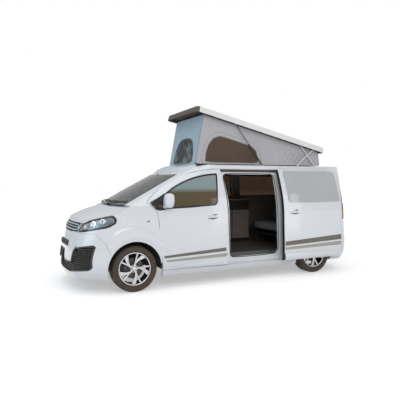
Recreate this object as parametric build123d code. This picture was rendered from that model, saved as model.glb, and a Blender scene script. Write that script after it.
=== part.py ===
from build123d import *
import math
import os

# Camper van with a raised lifting roof and its left sliding door held open.
# Millimetres. X to the van's left, Y to its rear, Z up. The origin is on the
# ground, under the middle of the van's length and width.

# ---- Driving sizes -------------------------------------------------------
LENGTH = 4959.0
HALF_LENGTH = LENGTH / 2
WHEELBASE = 3275.0
FRONT_OVERHANG = 881.0
TRACK = 1630.0
TYRE_RADIUS = 338.0
RIM_RADIUS = 219.0

FRONT_AXLE_Y = -HALF_LENGTH + FRONT_OVERHANG
REAR_AXLE_Y = FRONT_AXLE_Y + WHEELBASE
AXLE_Z = TYRE_RADIUS
WHEEL_X = TRACK / 2

WALL = 60.0             # whole thickness of a door or a side wall
ROOF_WALL = 38.0
SKIN = 22.0             # wings, bonnet and bumpers
GAP = 6.0               # shut line round a moving panel
PANEL_SEAM = 2.0        # joint between fixed panels
GLASS_SET = 3.0         # glass lies this far under the painted surface
GLASS_THICK = 6.0
GLASS_GAP = 2.0         # clearance round a pane's edge
GLASS_FLANGE = 16.0     # width of the flange that a pane is bonded to

SILL_Z = 225.0          # underside of the sills
DOOR_LOW_Z = 286.0      # lower edge of all side doors
FLOOR_LOW_Z = 300.0
FLOOR_TOP_Z = 425.0
BELT_Z = 1240.0         # where the glasshouse starts
FIREWALL_Y = -1330.0

# ---- Body form -----------------------------------------------------------
# Each row is a level of the body seen from above:
# z, nose y at the centre, half width, tail y at the centre.
LOWER_LEVELS = [
    (SILL_Z - 30, -HALF_LENGTH + 62, 893, HALF_LENGTH - 62),
    (320, -HALF_LENGTH + 9, 940, HALF_LENGTH - 14),
    (620, -HALF_LENGTH + 18, 959, HALF_LENGTH - 4),
    (930, -HALF_LENGTH + 118, 957, HALF_LENGTH - 22),
    (BELT_Z, -HALF_LENGTH + 262, 944, HALF_LENGTH - 55),
]
# z, windscreen y at the centre, half width, tail y at the centre.
UPPER_LEVELS = [
    (BELT_Z, -1818, 944, HALF_LENGTH - 55),
    (1470, -1380, 917, HALF_LENGTH - 84),
    (1700, -938, 869, HALF_LENGTH - 130),
    (1930, -490, 804, HALF_LENGTH - 190),
]
WINDSCREEN_RUN = 2.14   # how far the slanted screen moves back per unit of its thickness

NOSE_ARC_X = 560.0      # the nose is one wide arc out to here
NOSE_ARC_DROP = 64.0
CORNER_VIA = (125.0, 237.0)     # inboard of the flank, behind the nose
CORNER_END = (12.0, 520.0)
SCREEN_ARC = 0.74       # share of the half width that the windscreen spans
SCREEN_ARC_RADIUS = 2300.0
PILLAR_VIA = (0.92, 118.0)
PILLAR_END_Y = 300.0
TAIL_ARC_X = 800.0
TAIL_ARC_DROP = 34.0
TAIL_VIA = (58.0, 88.0)
TAIL_END = (28.0, 215.0)
FLANK_Y = -300.0        # the lower body is widest here
UPPER_FLANK_Y = 500.0   # and the glasshouse here

# Top of the bonnet and wings across the van: y, z at the centre, z at the edge.
BONNET_EDGE_X = 900.0
BONNET_LEVELS = [
    (-2560, 905, 800),
    (-2300, 1058, 945),
    (-2080, 1168, 1046),
    (-1850, 1226, 1140),
    (-1600, 1270, 1256),
    (-1350, 1330, 1318),
]

# Roof seen from the side, and across the van.
HEADER = (-905.0, 1718.0)
ROOF_VIA = (-400.0, 1858.0)
ROOF_TOP_Z = 1895.0
ROOF_REAR = (HALF_LENGTH - 120, 1868.0)
ROOF_RAIL = (848.0, 1790.0)     # x, z where the side turns into the roof
ROOF_RAIL_VIA = (828.0, 1846.0)
ROOF_SHOULDER = (768.0, 1868.0)
ROOF_CROWN_VIA = (400.0, 1888.0)


def outline(plane, points):
    """Face inside the points; a point marked "via" is the middle of an arc."""
    edges = []
    while len(points[0]) == 3:
        points = points[1:] + points[:1]
    ring = points + [points[0]]
    i = 0
    while i < len(ring) - 1:
        start = ring[i][:2]
        if len(ring[i + 1]) == 3:
            edges.append(ThreePointArc(start, ring[i + 1][:2], ring[i + 2][:2]))
            i += 2
        else:
            edges.append(Line(start, ring[i + 1][:2]))
            i += 1
    return plane * make_face(Curve() + edges)


def prism(plane, points, low, high):
    """Outline carried along the plane's normal from low to high."""
    return extrude(outline(plane.offset(low), points), high - low)


def slab(x, y, z):
    """Box from three (low, high) pairs."""
    size = [pair[1] - pair[0] for pair in (x, y, z)]
    centre = [(pair[1] + pair[0]) / 2 for pair in (x, y, z)]
    return Pos(*centre) * Box(*size)


def mirrored(shape):
    return mirror(shape, about=Plane.YZ)


def join(*shapes):
    """One shape from pieces that touch."""
    return shapes[0] + list(shapes[1:])


def both(half):
    """Left half and its mirror image as one solid that meets on the centre plane."""
    return half + mirrored(half)


def pair(shape):
    """Shape and its mirror image, which don't touch."""
    return Compound(children=[shape, mirrored(shape)])


def tail_points(half_width, tail, inset):
    arc_x = TAIL_ARC_X - inset
    return [
        (half_width - TAIL_END[0], tail - TAIL_END[1]),
        (half_width - TAIL_VIA[0], tail - TAIL_VIA[1], "via"),
        (arc_x, tail - TAIL_ARC_DROP),
        (arc_x / 2, tail - TAIL_ARC_DROP / 4, "via"),
        (0, tail),
    ]


def lower_level(z, nose, half_width, tail, inset):
    nose, half_width, tail = nose + inset, half_width - inset, tail - inset
    arc_x = NOSE_ARC_X - inset / 2
    half = [
        (0, nose),
        (arc_x / 2, nose + NOSE_ARC_DROP / 4, "via"),
        (arc_x, nose + NOSE_ARC_DROP),
        (half_width - CORNER_VIA[0], nose + CORNER_VIA[1], "via"),
        (half_width - CORNER_END[0], nose + CORNER_END[1]),
        (half_width, FLANK_Y, "via"),
    ] + tail_points(half_width, tail, inset)
    return outline(Plane.XY.offset(z), half)


def upper_level(z, screen, half_width, tail, inset):
    screen = screen + inset * WINDSCREEN_RUN
    half_width, tail = half_width - inset, tail - inset
    arc_x = SCREEN_ARC * half_width
    arc_y = screen + arc_x**2 / (2 * SCREEN_ARC_RADIUS)
    half = [
        (0, screen),
        (arc_x / 2, screen + arc_x**2 / (8 * SCREEN_ARC_RADIUS), "via"),
        (arc_x, arc_y),
        (PILLAR_VIA[0] * half_width, arc_y + PILLAR_VIA[1], "via"),
        (half_width - 2, arc_y + PILLAR_END_Y),
        (half_width, UPPER_FLANK_Y, "via"),
    ] + tail_points(half_width, tail, inset)
    return outline(Plane.XY.offset(z), half)


def bonnet_section(y, centre_z, edge_z, inset):
    """Left half of a cross section, cut off by the crown of the bonnet and wing."""
    fall = centre_z - edge_z
    top = centre_z - inset
    reach = BONNET_EDGE_X + 200
    points = [
        (0, 0),
        (reach, 0),
        (reach, top - fall * (reach / BONNET_EDGE_X) ** 2),
        (reach / 2, top - fall * (reach / BONNET_EDGE_X / 2) ** 2, "via"),
        (0, top),
    ]
    return outline(Plane.XZ.offset(-y), points)


def lower_form(inset):
    levels = [lower_level(*row, inset) for row in LOWER_LEVELS]
    top = [bonnet_section(*row, inset) for row in BONNET_LEVELS]
    hull = loft(levels)
    front = loft(top) + slab((0, 1100), (BONNET_LEVELS[-1][0] - 1, 2600), (0, 1500))
    return hull & front


def upper_form(inset, roof_inset):
    levels = [upper_level(*row, inset) for row in UPPER_LEVELS]
    lift = -roof_inset
    side = [
        (HEADER[0] - 1200, 1000),
        (HEADER[0] - 1200, HEADER[1] + lift),
        (HEADER[0], HEADER[1] + lift),
        (ROOF_VIA[0], ROOF_VIA[1] + lift, "via"),
        (300, ROOF_TOP_Z + lift),
        (1300, ROOF_TOP_Z - 4 + lift, "via"),
        (ROOF_REAR[0], ROOF_REAR[1] + lift),
        (HALF_LENGTH + 60, ROOF_REAR[1] - 40 + lift),
        (HALF_LENGTH + 60, 1000),
    ]
    rail_x, rail_z = ROOF_RAIL[0] - inset, ROOF_RAIL[1] - roof_inset
    shoulder = (ROOF_SHOULDER[0] - inset, ROOF_SHOULDER[1] - roof_inset)
    section = [
        (0, 1000),
        (rail_x + 150, 1000),
        (rail_x + 150, rail_z - 400),
        (rail_x, rail_z),
        (ROOF_RAIL_VIA[0] - inset, ROOF_RAIL_VIA[1] - roof_inset, "via"),
        shoulder,
        (ROOF_CROWN_VIA[0], ROOF_CROWN_VIA[1] - roof_inset, "via"),
        (0, ROOF_TOP_Z - roof_inset),
    ]
    trimmed = loft(levels) & prism(Plane.YZ, side, -100, 1200)
    return trimmed & prism(Plane.XZ, section, -2700, 2700)


# ---- Outlines of the panels, seen from the side (y, z) --------------------
FRONT_DOOR = [
    (-1172, DOOR_LOW_Z),
    (-1238, 1000),
    (-1264, 1160),
    (-1412, 1292),
    (-1400, 1316),
    (-1035, 1575, "via"),
    (-640, 1738),
    (-390, 1782, "via"),
    (-179, 1794),
    (-122, 1240),
    (-98, DOOR_LOW_Z),
]
FRONT_WINDOW = [
    (-1338, 1284),
    (-1222, 1188),
    (-740, 1203),
    (-335, 1226),
    (-278, 1252, "via"),
    (-262, 1330),
    (-240, 1700),
    (-246, 1722, "via"),
    (-272, 1728),
    (-611, 1678, "via"),
    (-1021, 1503),
]
SLIDE_DOOR = [
    (-92, DOOR_LOW_Z),
    (-116, 1240),
    (-172, 1794),
    (1018, 1794),
    (1110, 1240),
    (1150, DOOR_LOW_Z),
]
SLIDE_WINDOW = [
    (0, 1276),
    (-22, 1300, "via"),
    (-26, 1330),
    (-66, 1740),
    (-62, 1756, "via"),
    (-48, 1762),
    (1000, 1762),
    (1084, 1276),
]
SLIDE_SHIFT = (113.0, 1022.0, 0.0)      # how far the open door stands out and back
ENTRY = [
    (-20, 470), (0, 416, "via"), (54, 400), (800, 400), (876, 436, "via"), (900, 512),
    (875, 1240), (847, 1650), (832, 1698, "via"), (780, 1716), (-40, 1716), (-92, 1696, "via"),
    (-108, 1645), (-45, 1240),
]
TRACK_SLOT = [(1160, 1184), (2200, 1184), (2200, 1208), (1160, 1208)]
TRACK_DEPTH_X = 925.0
REAR_WINDOW = [
    (1215, 1276),
    (1150, 1755),
    (2130, 1735),
    (2190, 1290),
]
MID_WINDOW = [
    (0, 1276),
    (-48, 1755),
    (1000, 1755),
    (1070, 1276),
]
TAIL_WINDOW = [(-690, 1270), (690, 1270), (640, 1742), (-640, 1742)]
TAILGATE = [
    (-772, 604), (772, 604), (786, 1100), (770, 1300), (704, 1806),
    (-704, 1806), (-770, 1300), (-786, 1100),
]
TAIL_LAMP = [(800, 930), (965, 930), (960, 1180), (935, 1440), (800, 1440)]

ARCH_RADIUS = 400.0
FRONT_WELL_X = 505.0            # inner face of the wheel wells
REAR_WELL_X = 640.0
FLANK_X = (775.0, 1300.0)       # doors take the side wall out from here

BUMPER = [
    (-2700, 100), (-1940, 100), (-1940, 500), (-2010, 700), (-2150, 862), (-2700, 862),
]
REAR_BUMPER = [(2000, 100), (2700, 100), (2700, 596), (2000, 596)]
BONNET_FRONT = [
    (-600, 1000), (600, 1000), (730, 1066), (850, 1118), (930, 1140), (930, 1500),
    (-930, 1500), (-930, 1140), (-850, 1118), (-730, 1066),
]
BONNET_PLAN = [
    (0, -1812, "via"), (730, -1696), (822, -1640), (832, -1900), (800, -2300), (600, -2600),
    (-600, -2600), (-800, -2300), (-832, -1900), (-822, -1640), (-730, -1696),
]
HEADLAMP_FRONT = [
    (526, 888), (544, 976), (607, 1006), (721, 1066), (794, 1098), (870, 1116), (1000, 1140),
    (1000, 952), (884, 942), (790, 912), (689, 890), (563, 874),
]
HEADLAMP_SIDE = [
    (-2700, 800), (-2700, 1300), (-1960, 1300), (-1934, 1116), (-1884, 1088, "via"), (-1872, 1048),
    (-1882, 1016, "via"), (-1908, 994), (-1970, 960), (-2160, 908), (-2300, 800),
]
GRILLE_HALF = 512.0
GRILLE_Z = (876.0, 988.0)
# Left half of the black insert low in the bumper, and the slot above the plate
LOW_INSERT = [
    (0, 300), (420, 290), (790, 344), (846, 372, "via"), (866, 440), (874, 660), (862, 700, "via"),
    (826, 706), (640, 668), (560, 636, "via"), (520, 570), (486, 456), (228, 450), (190, 604), (0, 612),
]
LAMP_FACE_Y = -2240.0
LAMP_BOWLS = [(640, 0, 950, 44), (745, 70, 992, 46), (836, 180, 1032, 40)]  # x, y behind the face, z, radius
BOWL_DEPTH = 90.0
UPPER_SLOT = [(0, 652), (318, 646), (290, 732), (0, 740)]
INSERT_FRAME = 20.0     # width of the plain border round a grille
GRILLE_DEPTH = 26.0     # slats stand in front of the closed back by less than this
SLAT_PITCH = 34
SLAT_THICK = 9.0
NOSE_SLOPE_Z = 900.0    # above this the nose leans back by the slope, per mm of height
NOSE_SLOPE = 0.32


def grown(points, plane, low, high, amount):
    """Prism of an outline moved out (or in) by amount."""
    face = outline(plane.offset(low), points)
    return extrude(offset(face, amount=amount, kind=Kind.INTERSECTION), high - low)


def across(points, amount, span):
    """Prism of a side view across the van, its outline grown by amount."""
    return grown(points, Plane.YZ, *span, amount)


def facing(points, amount, span):
    """Prism of a front view along the van; span is (low y, high y)."""
    return grown(points, Plane.XZ, -span[1], -span[0], amount)


def pane_cut(solid, points, view, span):
    """Recess a panel for its pane and open it inside the pane's flange."""
    recess = prism_of(view, points, 0, span) - GLASS_INNER
    return solid - recess - prism_of(view, points, -GLASS_FLANGE, span)


def prism_of(view, points, amount, span):
    if amount == 0:
        low, high = span if view == "side" else (-span[1], -span[0])
        return prism(Plane.YZ if view == "side" else Plane.XZ, points, low, high)
    return across(points, amount, span) if view == "side" else facing(points, amount, span)


def cylinder_x(radius, y, z, x):
    """Cylinder about a line along X, from x[0] to x[1]."""
    return Pos((x[0] + x[1]) / 2, y, z) * Rot(0, 90, 0) * Cylinder(radius, x[1] - x[0])


def rod(start, end, radius):
    """Round bar from one point to another."""
    line = Line(start, end)
    return sweep(Plane(origin=line @ 0, z_dir=line % 0) * Circle(radius), path=line)


# ---- Left half of the body, at several depths under the paint --------------
LOWER, UPPER = lower_form(0), upper_form(0, 0)
OUTER = LOWER + UPPER
INNER = lower_form(WALL) + upper_form(WALL, ROOF_WALL)
SKIN_INNER = lower_form(SKIN)
GLASS_OUTER = lower_form(GLASS_SET) + upper_form(GLASS_SET, GLASS_SET)
glass_depth = GLASS_SET + GLASS_THICK
GLASS_INNER = lower_form(glass_depth) + upper_form(glass_depth, glass_depth)
PANE = GLASS_OUTER - GLASS_INNER
WALLS = OUTER - INNER
REAR_SPAN = (2000.0, 3000.0)
FRONT_SPAN = (-3000.0, -1500.0)
HALF_SPAN = (-100.0, 1300.0)

nodes = {}

# ---- Doors ----------------------------------------------------------------
# Sections of the rub moulding along the doors: y, outer x, low z, high z
FRONT_MOULDING = [(-985, 955, 312, 330), (-98, 974, 302, 458)]
SLIDE_MOULDING = [(-92, 974, 302, 440), (980, 972, 318, 420), (1044, 955, 345, 400)]
HANDLE_LENGTH = 184.0
HANDLE_X = (946.0, 975.0)
POCKET_RADIUS = 46.0
POCKET_DEPTH = 12.0


def moulding(rows):
    """Rounded bar along the flank that grows from row to row."""
    sections = [outline(Plane.XZ.offset(-y), [
        (925, low), (x - 6, low), (x, low + (high - low) * 0.3, "via"), (x - 4, high - (high - low) * 0.25),
        (925, high)]) for y, x, low, high in rows]
    return loft(sections, ruled=True)


def with_handle(panel, y, z):
    """Grip bar over a round pocket."""
    pocket = cylinder_x(POCKET_RADIUS, y, z, (HANDLE_X[1] - 22 - POCKET_DEPTH, HANDLE_X[1] + 40))
    bar = slab(HANDLE_X, (y - HANDLE_LENGTH / 2, y + HANDLE_LENGTH / 2), (z - 13, z + 13))
    bar = fillet(bar.faces().sort_by(Axis.X)[-1].edges(), 8)
    return (panel - pocket) + bar


door_zone = prism_of("side", FRONT_DOOR, 0, FLANK_X)
door = pane_cut(WALLS & door_zone, FRONT_WINDOW, "side", FLANK_X)
door = with_handle(door + (moulding(FRONT_MOULDING) & door_zone), -355, 1052)
nodes["door_left"] = door
nodes["door_glass_left"] = PANE & prism_of("side", FRONT_WINDOW, -GLASS_GAP, FLANK_X)
nodes["door_right"] = mirrored(nodes["door_left"])
nodes["door_glass_right"] = mirrored(nodes["door_glass_left"])
slide_zone = prism_of("side", SLIDE_DOOR, 0, FLANK_X)
slide = pane_cut(WALLS & slide_zone, SLIDE_WINDOW, "side", FLANK_X)
slide_moulding = moulding(SLIDE_MOULDING) & slide_zone
nodes["sliding_door"] = Pos(*SLIDE_SHIFT) * with_handle(slide + slide_moulding, 106, 1090)
nodes["sliding_door_glass"] = Pos(*SLIDE_SHIFT) * (
    PANE & prism_of("side", SLIDE_WINDOW, -GLASS_GAP, FLANK_X))

tailgate = WALLS & prism_of("front", TAILGATE, 0, REAR_SPAN)
nodes["tailgate"] = both(pane_cut(tailgate, TAIL_WINDOW, "front", REAR_SPAN))
nodes["tailgate_glass"] = both(PANE & prism_of("front", TAIL_WINDOW, -GLASS_GAP, REAR_SPAN))

# ---- Windscreen -------------------------------------------------------------
SCREEN_LOW_Z, SCREEN_HIGH_Z = BELT_Z + 6, HEADER[1] - 6
SCREEN = [(-700, SCREEN_LOW_Z), (700, SCREEN_LOW_Z), (640, SCREEN_HIGH_Z), (-640, SCREEN_HIGH_Z)]
SCREEN_SPAN = (-2100.0, -600.0)
nodes["windscreen"] = both(PANE & prism_of("front", SCREEN, -GLASS_GAP, SCREEN_SPAN))

# ---- Nose -------------------------------------------------------------------
WING_REAR_Y = -1170.0
nose_zone = slab((0, 1200), (-2700, WING_REAR_Y), (0, BELT_Z + 40))
nose_skin = ((LOWER - SKIN_INNER) & nose_zone) - UPPER
bonnet_zone = prism(Plane.XY, BONNET_PLAN, 700, 1500) & prism_of("front", BONNET_FRONT, 0, FRONT_SPAN)
bonnet_hole = (grown(BONNET_PLAN, Plane.XY, 700, 1500, GAP)
               & prism_of("front", BONNET_FRONT, GAP, FRONT_SPAN))
nodes["bonnet"] = both(nose_skin & bonnet_zone)

lamp_zone = (prism_of("front", HEADLAMP_FRONT, 0, FRONT_SPAN)
             & prism_of("side", HEADLAMP_SIDE, 0, HALF_SPAN))
lamp_hole = (prism_of("front", HEADLAMP_FRONT, GAP, FRONT_SPAN)
             & prism_of("side", HEADLAMP_SIDE, GAP, HALF_SPAN))
lens = (PANE & lamp_zone) - bonnet_hole
nodes["headlamps"] = pair(lens.solids().sort_by(SortBy.VOLUME)[-1])
# Housing behind each lens, with one deep bowl for each beam
bowls = [Pos(x, LAMP_FACE_Y + back, z) * Rot(90, 0, 0) * Cylinder(radius, BOWL_DEPTH)
         for x, back, z, radius in LAMP_BOWLS]
housing = ((GLASS_INNER - INNER) & lamp_zone) - [*bowls, bonnet_hole]
nodes["headlamp_housings"] = pair(housing.solids().sort_by(SortBy.VOLUME)[-1])

grille_hole = slab((0, GRILLE_HALF + GAP), (-2700, -2000), (GRILLE_Z[0] - GAP, GRILLE_Z[1] + GAP))
front_arch = cylinder_x(ARCH_RADIUS, FRONT_AXLE_Y, AXLE_Z, (FRONT_WELL_X, 1200))
rear_arch = cylinder_x(ARCH_RADIUS, REAR_AXLE_Y, AXLE_Z, (REAR_WELL_X, 1200))
bumper = nose_skin & prism_of("side", BUMPER, 0, HALF_SPAN)
openings = [prism_of("front", points, 0, FRONT_SPAN) for points in (LOW_INSERT, UPPER_SLOT)]
nodes["front_bumper"] = both(bumper - [*openings, front_arch])


def nose_band(low, high, outer, inner):
    """Upright band that follows the nose in plan, between two depths under its paint."""
    nose = LOWER_LEVELS[1] if high < NOSE_SLOPE_Z else LOWER_LEVELS[3]
    fall = max(0.0, (low + high) / 2 - NOSE_SLOPE_Z) * NOSE_SLOPE
    row = (nose[1] + fall, nose[2], nose[3])
    return (extrude(lower_level(low, *row, outer), high - low)
            - extrude(lower_level(low, *row, inner), high - low))


# Black inserts: a border, a closed back and slats between
nose_body = (GLASS_OUTER - INNER) & slab((0, 1100), (-2700, -2060), (280, 1000))
band = join(nose_band(285, 760, GRILLE_DEPTH + 8, WALL - 2), *[
    nose_band(z, z + SLAT_THICK, 10, GRILLE_DEPTH + 10) for z in range(300, 740, SLAT_PITCH)])
fill = []
for points in (LOW_INSERT, UPPER_SLOT):
    core = prism_of("front", points, -INSERT_FRAME, FRONT_SPAN)
    border = (nose_body & prism_of("front", points, -GLASS_GAP, FRONT_SPAN)) - core
    fill.append(both(border + (band & core)))
upper = nose_body & slab((0, GRILLE_HALF), (-2700, -2000), GRILLE_Z)
groove_zone = slab((0, GRILLE_HALF - 14), (-2700, -2000), (0, 1100))
grooves = [nose_band(z, z + height, -40, GRILLE_DEPTH) & groove_zone
           for z, height in ((888, 22), (920, 24), (954, 22))]
fill.append(both(upper - grooves))
nodes["grilles"] = Compound(children=fill)

front_door_hole = prism_of("side", FRONT_DOOR, GAP, FLANK_X)
wing = (nose_skin & slab((300, 1200), (-2700, WING_REAR_Y), (400, BELT_Z + 40))) - [
    bonnet_hole, lamp_hole, front_arch, grille_hole,
    prism_of("side", BUMPER, PANEL_SEAM, HALF_SPAN), front_door_hole]
nodes["front_wings"] = pair(wing.solids().sort_by(SortBy.VOLUME)[-1])
# Liner of the front arch, open above the spring
LINER = 6.0
KINGPIN_X = 755.0
liner = cylinder_x(ARCH_RADIUS + LINER, FRONT_AXLE_Y, AXLE_Z, (FRONT_WELL_X - LINER, 1000)) - front_arch
liner = liner & SKIN_INNER & slab((0, 1000), (-3000, 0), (AXLE_Z - 30, 1000))
spring_hole = slab((0, KINGPIN_X - 10), (FRONT_AXLE_Y - 125, FRONT_AXLE_Y + 125), (AXLE_Z + 250, 1000))
nodes["wheel_liners"] = pair(liner - [slab((0, FRONT_WELL_X + 1), (-3000, 0), (0, 1000)), spring_hole])

# ---- Sides and roof ---------------------------------------------------------
ROOF_HOLE_X, ROOF_HOLE_Y = 505.0, (-390.0, 1990.0)
ROOF_PANEL_X = 768.0
roof_hole = slab((0, ROOF_HOLE_X), ROOF_HOLE_Y, (1600, 2100))
tail_hole = prism_of("front", TAILGATE, GAP, REAR_SPAN)
roof_zone = slab((0, ROOF_PANEL_X), (-1100, 2700), (HEADER[1] - 2, 2100))
# Feet that carry the lower pins of the roof's arms and struts: x, y
FOOT_THICK = 6.0
FOOT_HALF = 18.0
PIN_Z = 1892.0
ARM_REAR_X, ARM_FRONT_X, STRUT_X = 575.0, 597.0, 575.0
ARM_REAR_Y, ARM_FRONT_Y, STRUT_Y = 1941.0, 1534.0, 793.0
INNER_PLATE_X, OUTER_PLATE_X = 553.0, 611.0
feet = [slab((x, x + FOOT_THICK), (y - FOOT_HALF, y + FOOT_HALF), (PIN_Z - 42, PIN_Z + 10))
        for x, y in ((INNER_PLATE_X, ARM_REAR_Y), (OUTER_PLATE_X, ARM_FRONT_Y), (INNER_PLATE_X, STRUT_Y))]
nodes["roof_panel"] = both(join((WALLS & roof_zone) - [tail_hole, roof_hole], *feet))

frame = WALLS - [roof_zone, nose_zone - UPPER, tail_hole, rear_arch, front_arch,
                 prism_of("front", SCREEN, 0, SCREEN_SPAN)]
nodes["rear_bumper"] = both(frame & prism_of("side", REAR_BUMPER, 0, HALF_SPAN))
lamp_span = (2290.0, 3000.0)
nodes["tail_lamps"] = pair(frame & prism_of("front", TAIL_LAMP, 0, lamp_span))
# Room for the opening bonnet and for the front corner of the opening door
bonnet_sweep = slab((0, 830), (-1900, -1640), (BELT_Z - 1, BELT_Z + 8))
door_sweep = (prism_of("side", FRONT_DOOR, GAP, (750, FLANK_X[0] + 1))
              & slab((0, 1000), (-1430, -1200), (1270, 1440)))
frame = frame - [bonnet_sweep, door_sweep, prism_of("side", REAR_BUMPER, PANEL_SEAM, HALF_SPAN),
                 prism_of("front", TAIL_LAMP, GLASS_GAP, lamp_span),
                 slab((0, 700), (-1400, 2300), (0, BELT_Z + 40)), front_door_hole]
slide_depth = lower_form(WALL * 0.75) + upper_form(WALL * 0.75, WALL * 0.75)
slide_recess = prism_of("side", SLIDE_DOOR, GAP, FLANK_X) - slide_depth
rear_side = pane_cut(frame, REAR_WINDOW, "side", FLANK_X)
nodes["side_left"] = rear_side - [slide_recess, prism_of("side", ENTRY, 0, (600, 1300)),
                                  prism_of("side", TRACK_SLOT, 0, (TRACK_DEPTH_X, 1300))]
nodes["side_right"] = mirrored(pane_cut(rear_side, MID_WINDOW, "side", FLANK_X) + slide_moulding)
rear_pane = PANE & prism_of("side", REAR_WINDOW, -GLASS_GAP, FLANK_X)
mid_pane = PANE & prism_of("side", MID_WINDOW, -GLASS_GAP, FLANK_X)
nodes["side_windows"] = Compound(children=[rear_pane, mirrored(rear_pane), mirrored(mid_pane)])

# ---- Floor and firewall -------------------------------------------------------
FLOOR_SIDE_X = 868.0
FLOOR_REAR_Y = 2300.0
WELL_SHELL = 16.0
floor = slab((-FLOOR_SIDE_X, FLOOR_SIDE_X), (FIREWALL_Y, FLOOR_REAR_Y), (FLOOR_LOW_Z, FLOOR_TOP_Z))
firewall = slab((-760, 760), (FIREWALL_Y - 30, FIREWALL_Y), (FLOOR_LOW_Z, 1150))
well_out = cylinder_x(ARCH_RADIUS + WELL_SHELL, REAR_AXLE_Y, AXLE_Z,
                      (REAR_WELL_X - WELL_SHELL, FLOOR_SIDE_X))
well_in = cylinder_x(ARCH_RADIUS, REAR_AXLE_Y, AXLE_Z, (REAR_WELL_X, 1200))
well_out = well_out & slab((0, 1200), (1000, 2300), (FLOOR_LOW_Z, 900))
front_well = cylinder_x(ARCH_RADIUS + 20, FRONT_AXLE_Y, AXLE_Z, (FRONT_WELL_X - 20, 1200))
step = slab((700, 1000), (-10, 850), (FLOOR_TOP_Z - 60, 600))
floor = join(floor, firewall, well_out, mirrored(well_out))
nodes["floor_pan"] = (floor & both(INNER)) - [
    well_in, mirrored(well_in), front_well, mirrored(front_well), step,
    slab((-670, 670), (REAR_AXLE_Y - 500, REAR_AXLE_Y + 130), (200, 400))]

# ---- Running gear ------------------------------------------------------------
HUB_X = 800.0
nodes["engine_block"] = slab((-330, 330), (-2060, -1500), (420, 930))
cross = slab((-470, 470), (FRONT_AXLE_Y - 60, FRONT_AXLE_Y + 120), (240, 330))
rail = slab((380, 470), (FRONT_AXLE_Y - 300, FRONT_AXLE_Y + 230), (250, 340))
arm = prism(Plane.XY, [
    (440, FRONT_AXLE_Y - 130), (KINGPIN_X - 10, FRONT_AXLE_Y - 26), (KINGPIN_X + 22, FRONT_AXLE_Y),
    (KINGPIN_X - 10, FRONT_AXLE_Y + 26), (440, FRONT_AXLE_Y + 110)], 236, 258)
nodes["front_subframe"] = join(cross, rail, mirrored(rail), arm, mirrored(arm))

strut_x = KINGPIN_X - 95
knuckle = join(
    slab((KINGPIN_X - 40, KINGPIN_X + 25), (FRONT_AXLE_Y - 55, FRONT_AXLE_Y + 55),
         (AXLE_Z - 44, AXLE_Z + 90)),
    cylinder_x(60, FRONT_AXLE_Y, AXLE_Z, (KINGPIN_X - 45, HUB_X - 6)),
    slab((KINGPIN_X - 35, KINGPIN_X - 5), (FRONT_AXLE_Y + 40, FRONT_AXLE_Y + 150),
         (AXLE_Z - 30, AXLE_Z)),
    slab((strut_x - 17, KINGPIN_X - 20), (FRONT_AXLE_Y - 30, FRONT_AXLE_Y + 30),
         (AXLE_Z + 60, AXLE_Z + 150)),
    slab((KINGPIN_X - 25, KINGPIN_X + 20), (FRONT_AXLE_Y - 150, FRONT_AXLE_Y - 45),
         (AXLE_Z - 26, AXLE_Z + 30)),
    slab((KINGPIN_X - 30, KINGPIN_X + 36), (FRONT_AXLE_Y - 172, FRONT_AXLE_Y - 100),
         (AXLE_Z - 70, AXLE_Z + 70)),
    Pos(strut_x, FRONT_AXLE_Y, 610) * Cylinder(26, 370),
    Pos(strut_x, FRONT_AXLE_Y, 750) * Cylinder(62, 110))
nodes["knuckle_left"] = knuckle
nodes["knuckle_right"] = mirrored(knuckle)

beam = cylinder_x(46, REAR_AXLE_Y + 40, AXLE_Z - 20, (-640, 640))
stub = cylinder_x(60, REAR_AXLE_Y, AXLE_Z, (560, HUB_X - 6))
trail = slab((560, 632), (REAR_AXLE_Y - 480, REAR_AXLE_Y + 90), (AXLE_Z - 70, AXLE_Z + 20))
axle = join(beam, stub, mirrored(stub), trail, mirrored(trail))
nodes["rear_axle"] = axle

# Wheel: x measured outboard from the middle of the tyre
TREAD_HALF = 92.0
tyre_profile = [
    (-90, RIM_RADIUS + 4), (-112.5, 268), (-108, 305), (-TREAD_HALF, TYRE_RADIUS - 3),
    (-60, TYRE_RADIUS), (60, TYRE_RADIUS), (TREAD_HALF, TYRE_RADIUS - 3), (108, 305),
    (112.5, 268), (90, RIM_RADIUS + 4),
]
AXIS_X = Axis((0, 0, 0), (1, 0, 0))
tyre = revolve(outline(Plane.XY, tyre_profile), axis=AXIS_X)
rim_profile = [
    (-88, RIM_RADIUS + 3.5), (-88, RIM_RADIUS - 14), (-70, RIM_RADIUS - 26),
    (66, RIM_RADIUS - 26), (80, RIM_RADIUS - 22), (88, RIM_RADIUS - 12), (88, RIM_RADIUS + 3.5),
]
rim = revolve(outline(Plane.XY, rim_profile), axis=AXIS_X)
SPOKE_TIP = RIM_RADIUS - 22
HUB_RADIUS = 56.0
# Dished band that the spokes are cut from, in section: x, radius
dish = revolve(outline(Plane.XY, [
    (18, 0), (18, 60), (46, SPOKE_TIP), (80, SPOKE_TIP), (60, 130, "via"), (52, 60), (50, 0)]), axis=AXIS_X)
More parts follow.
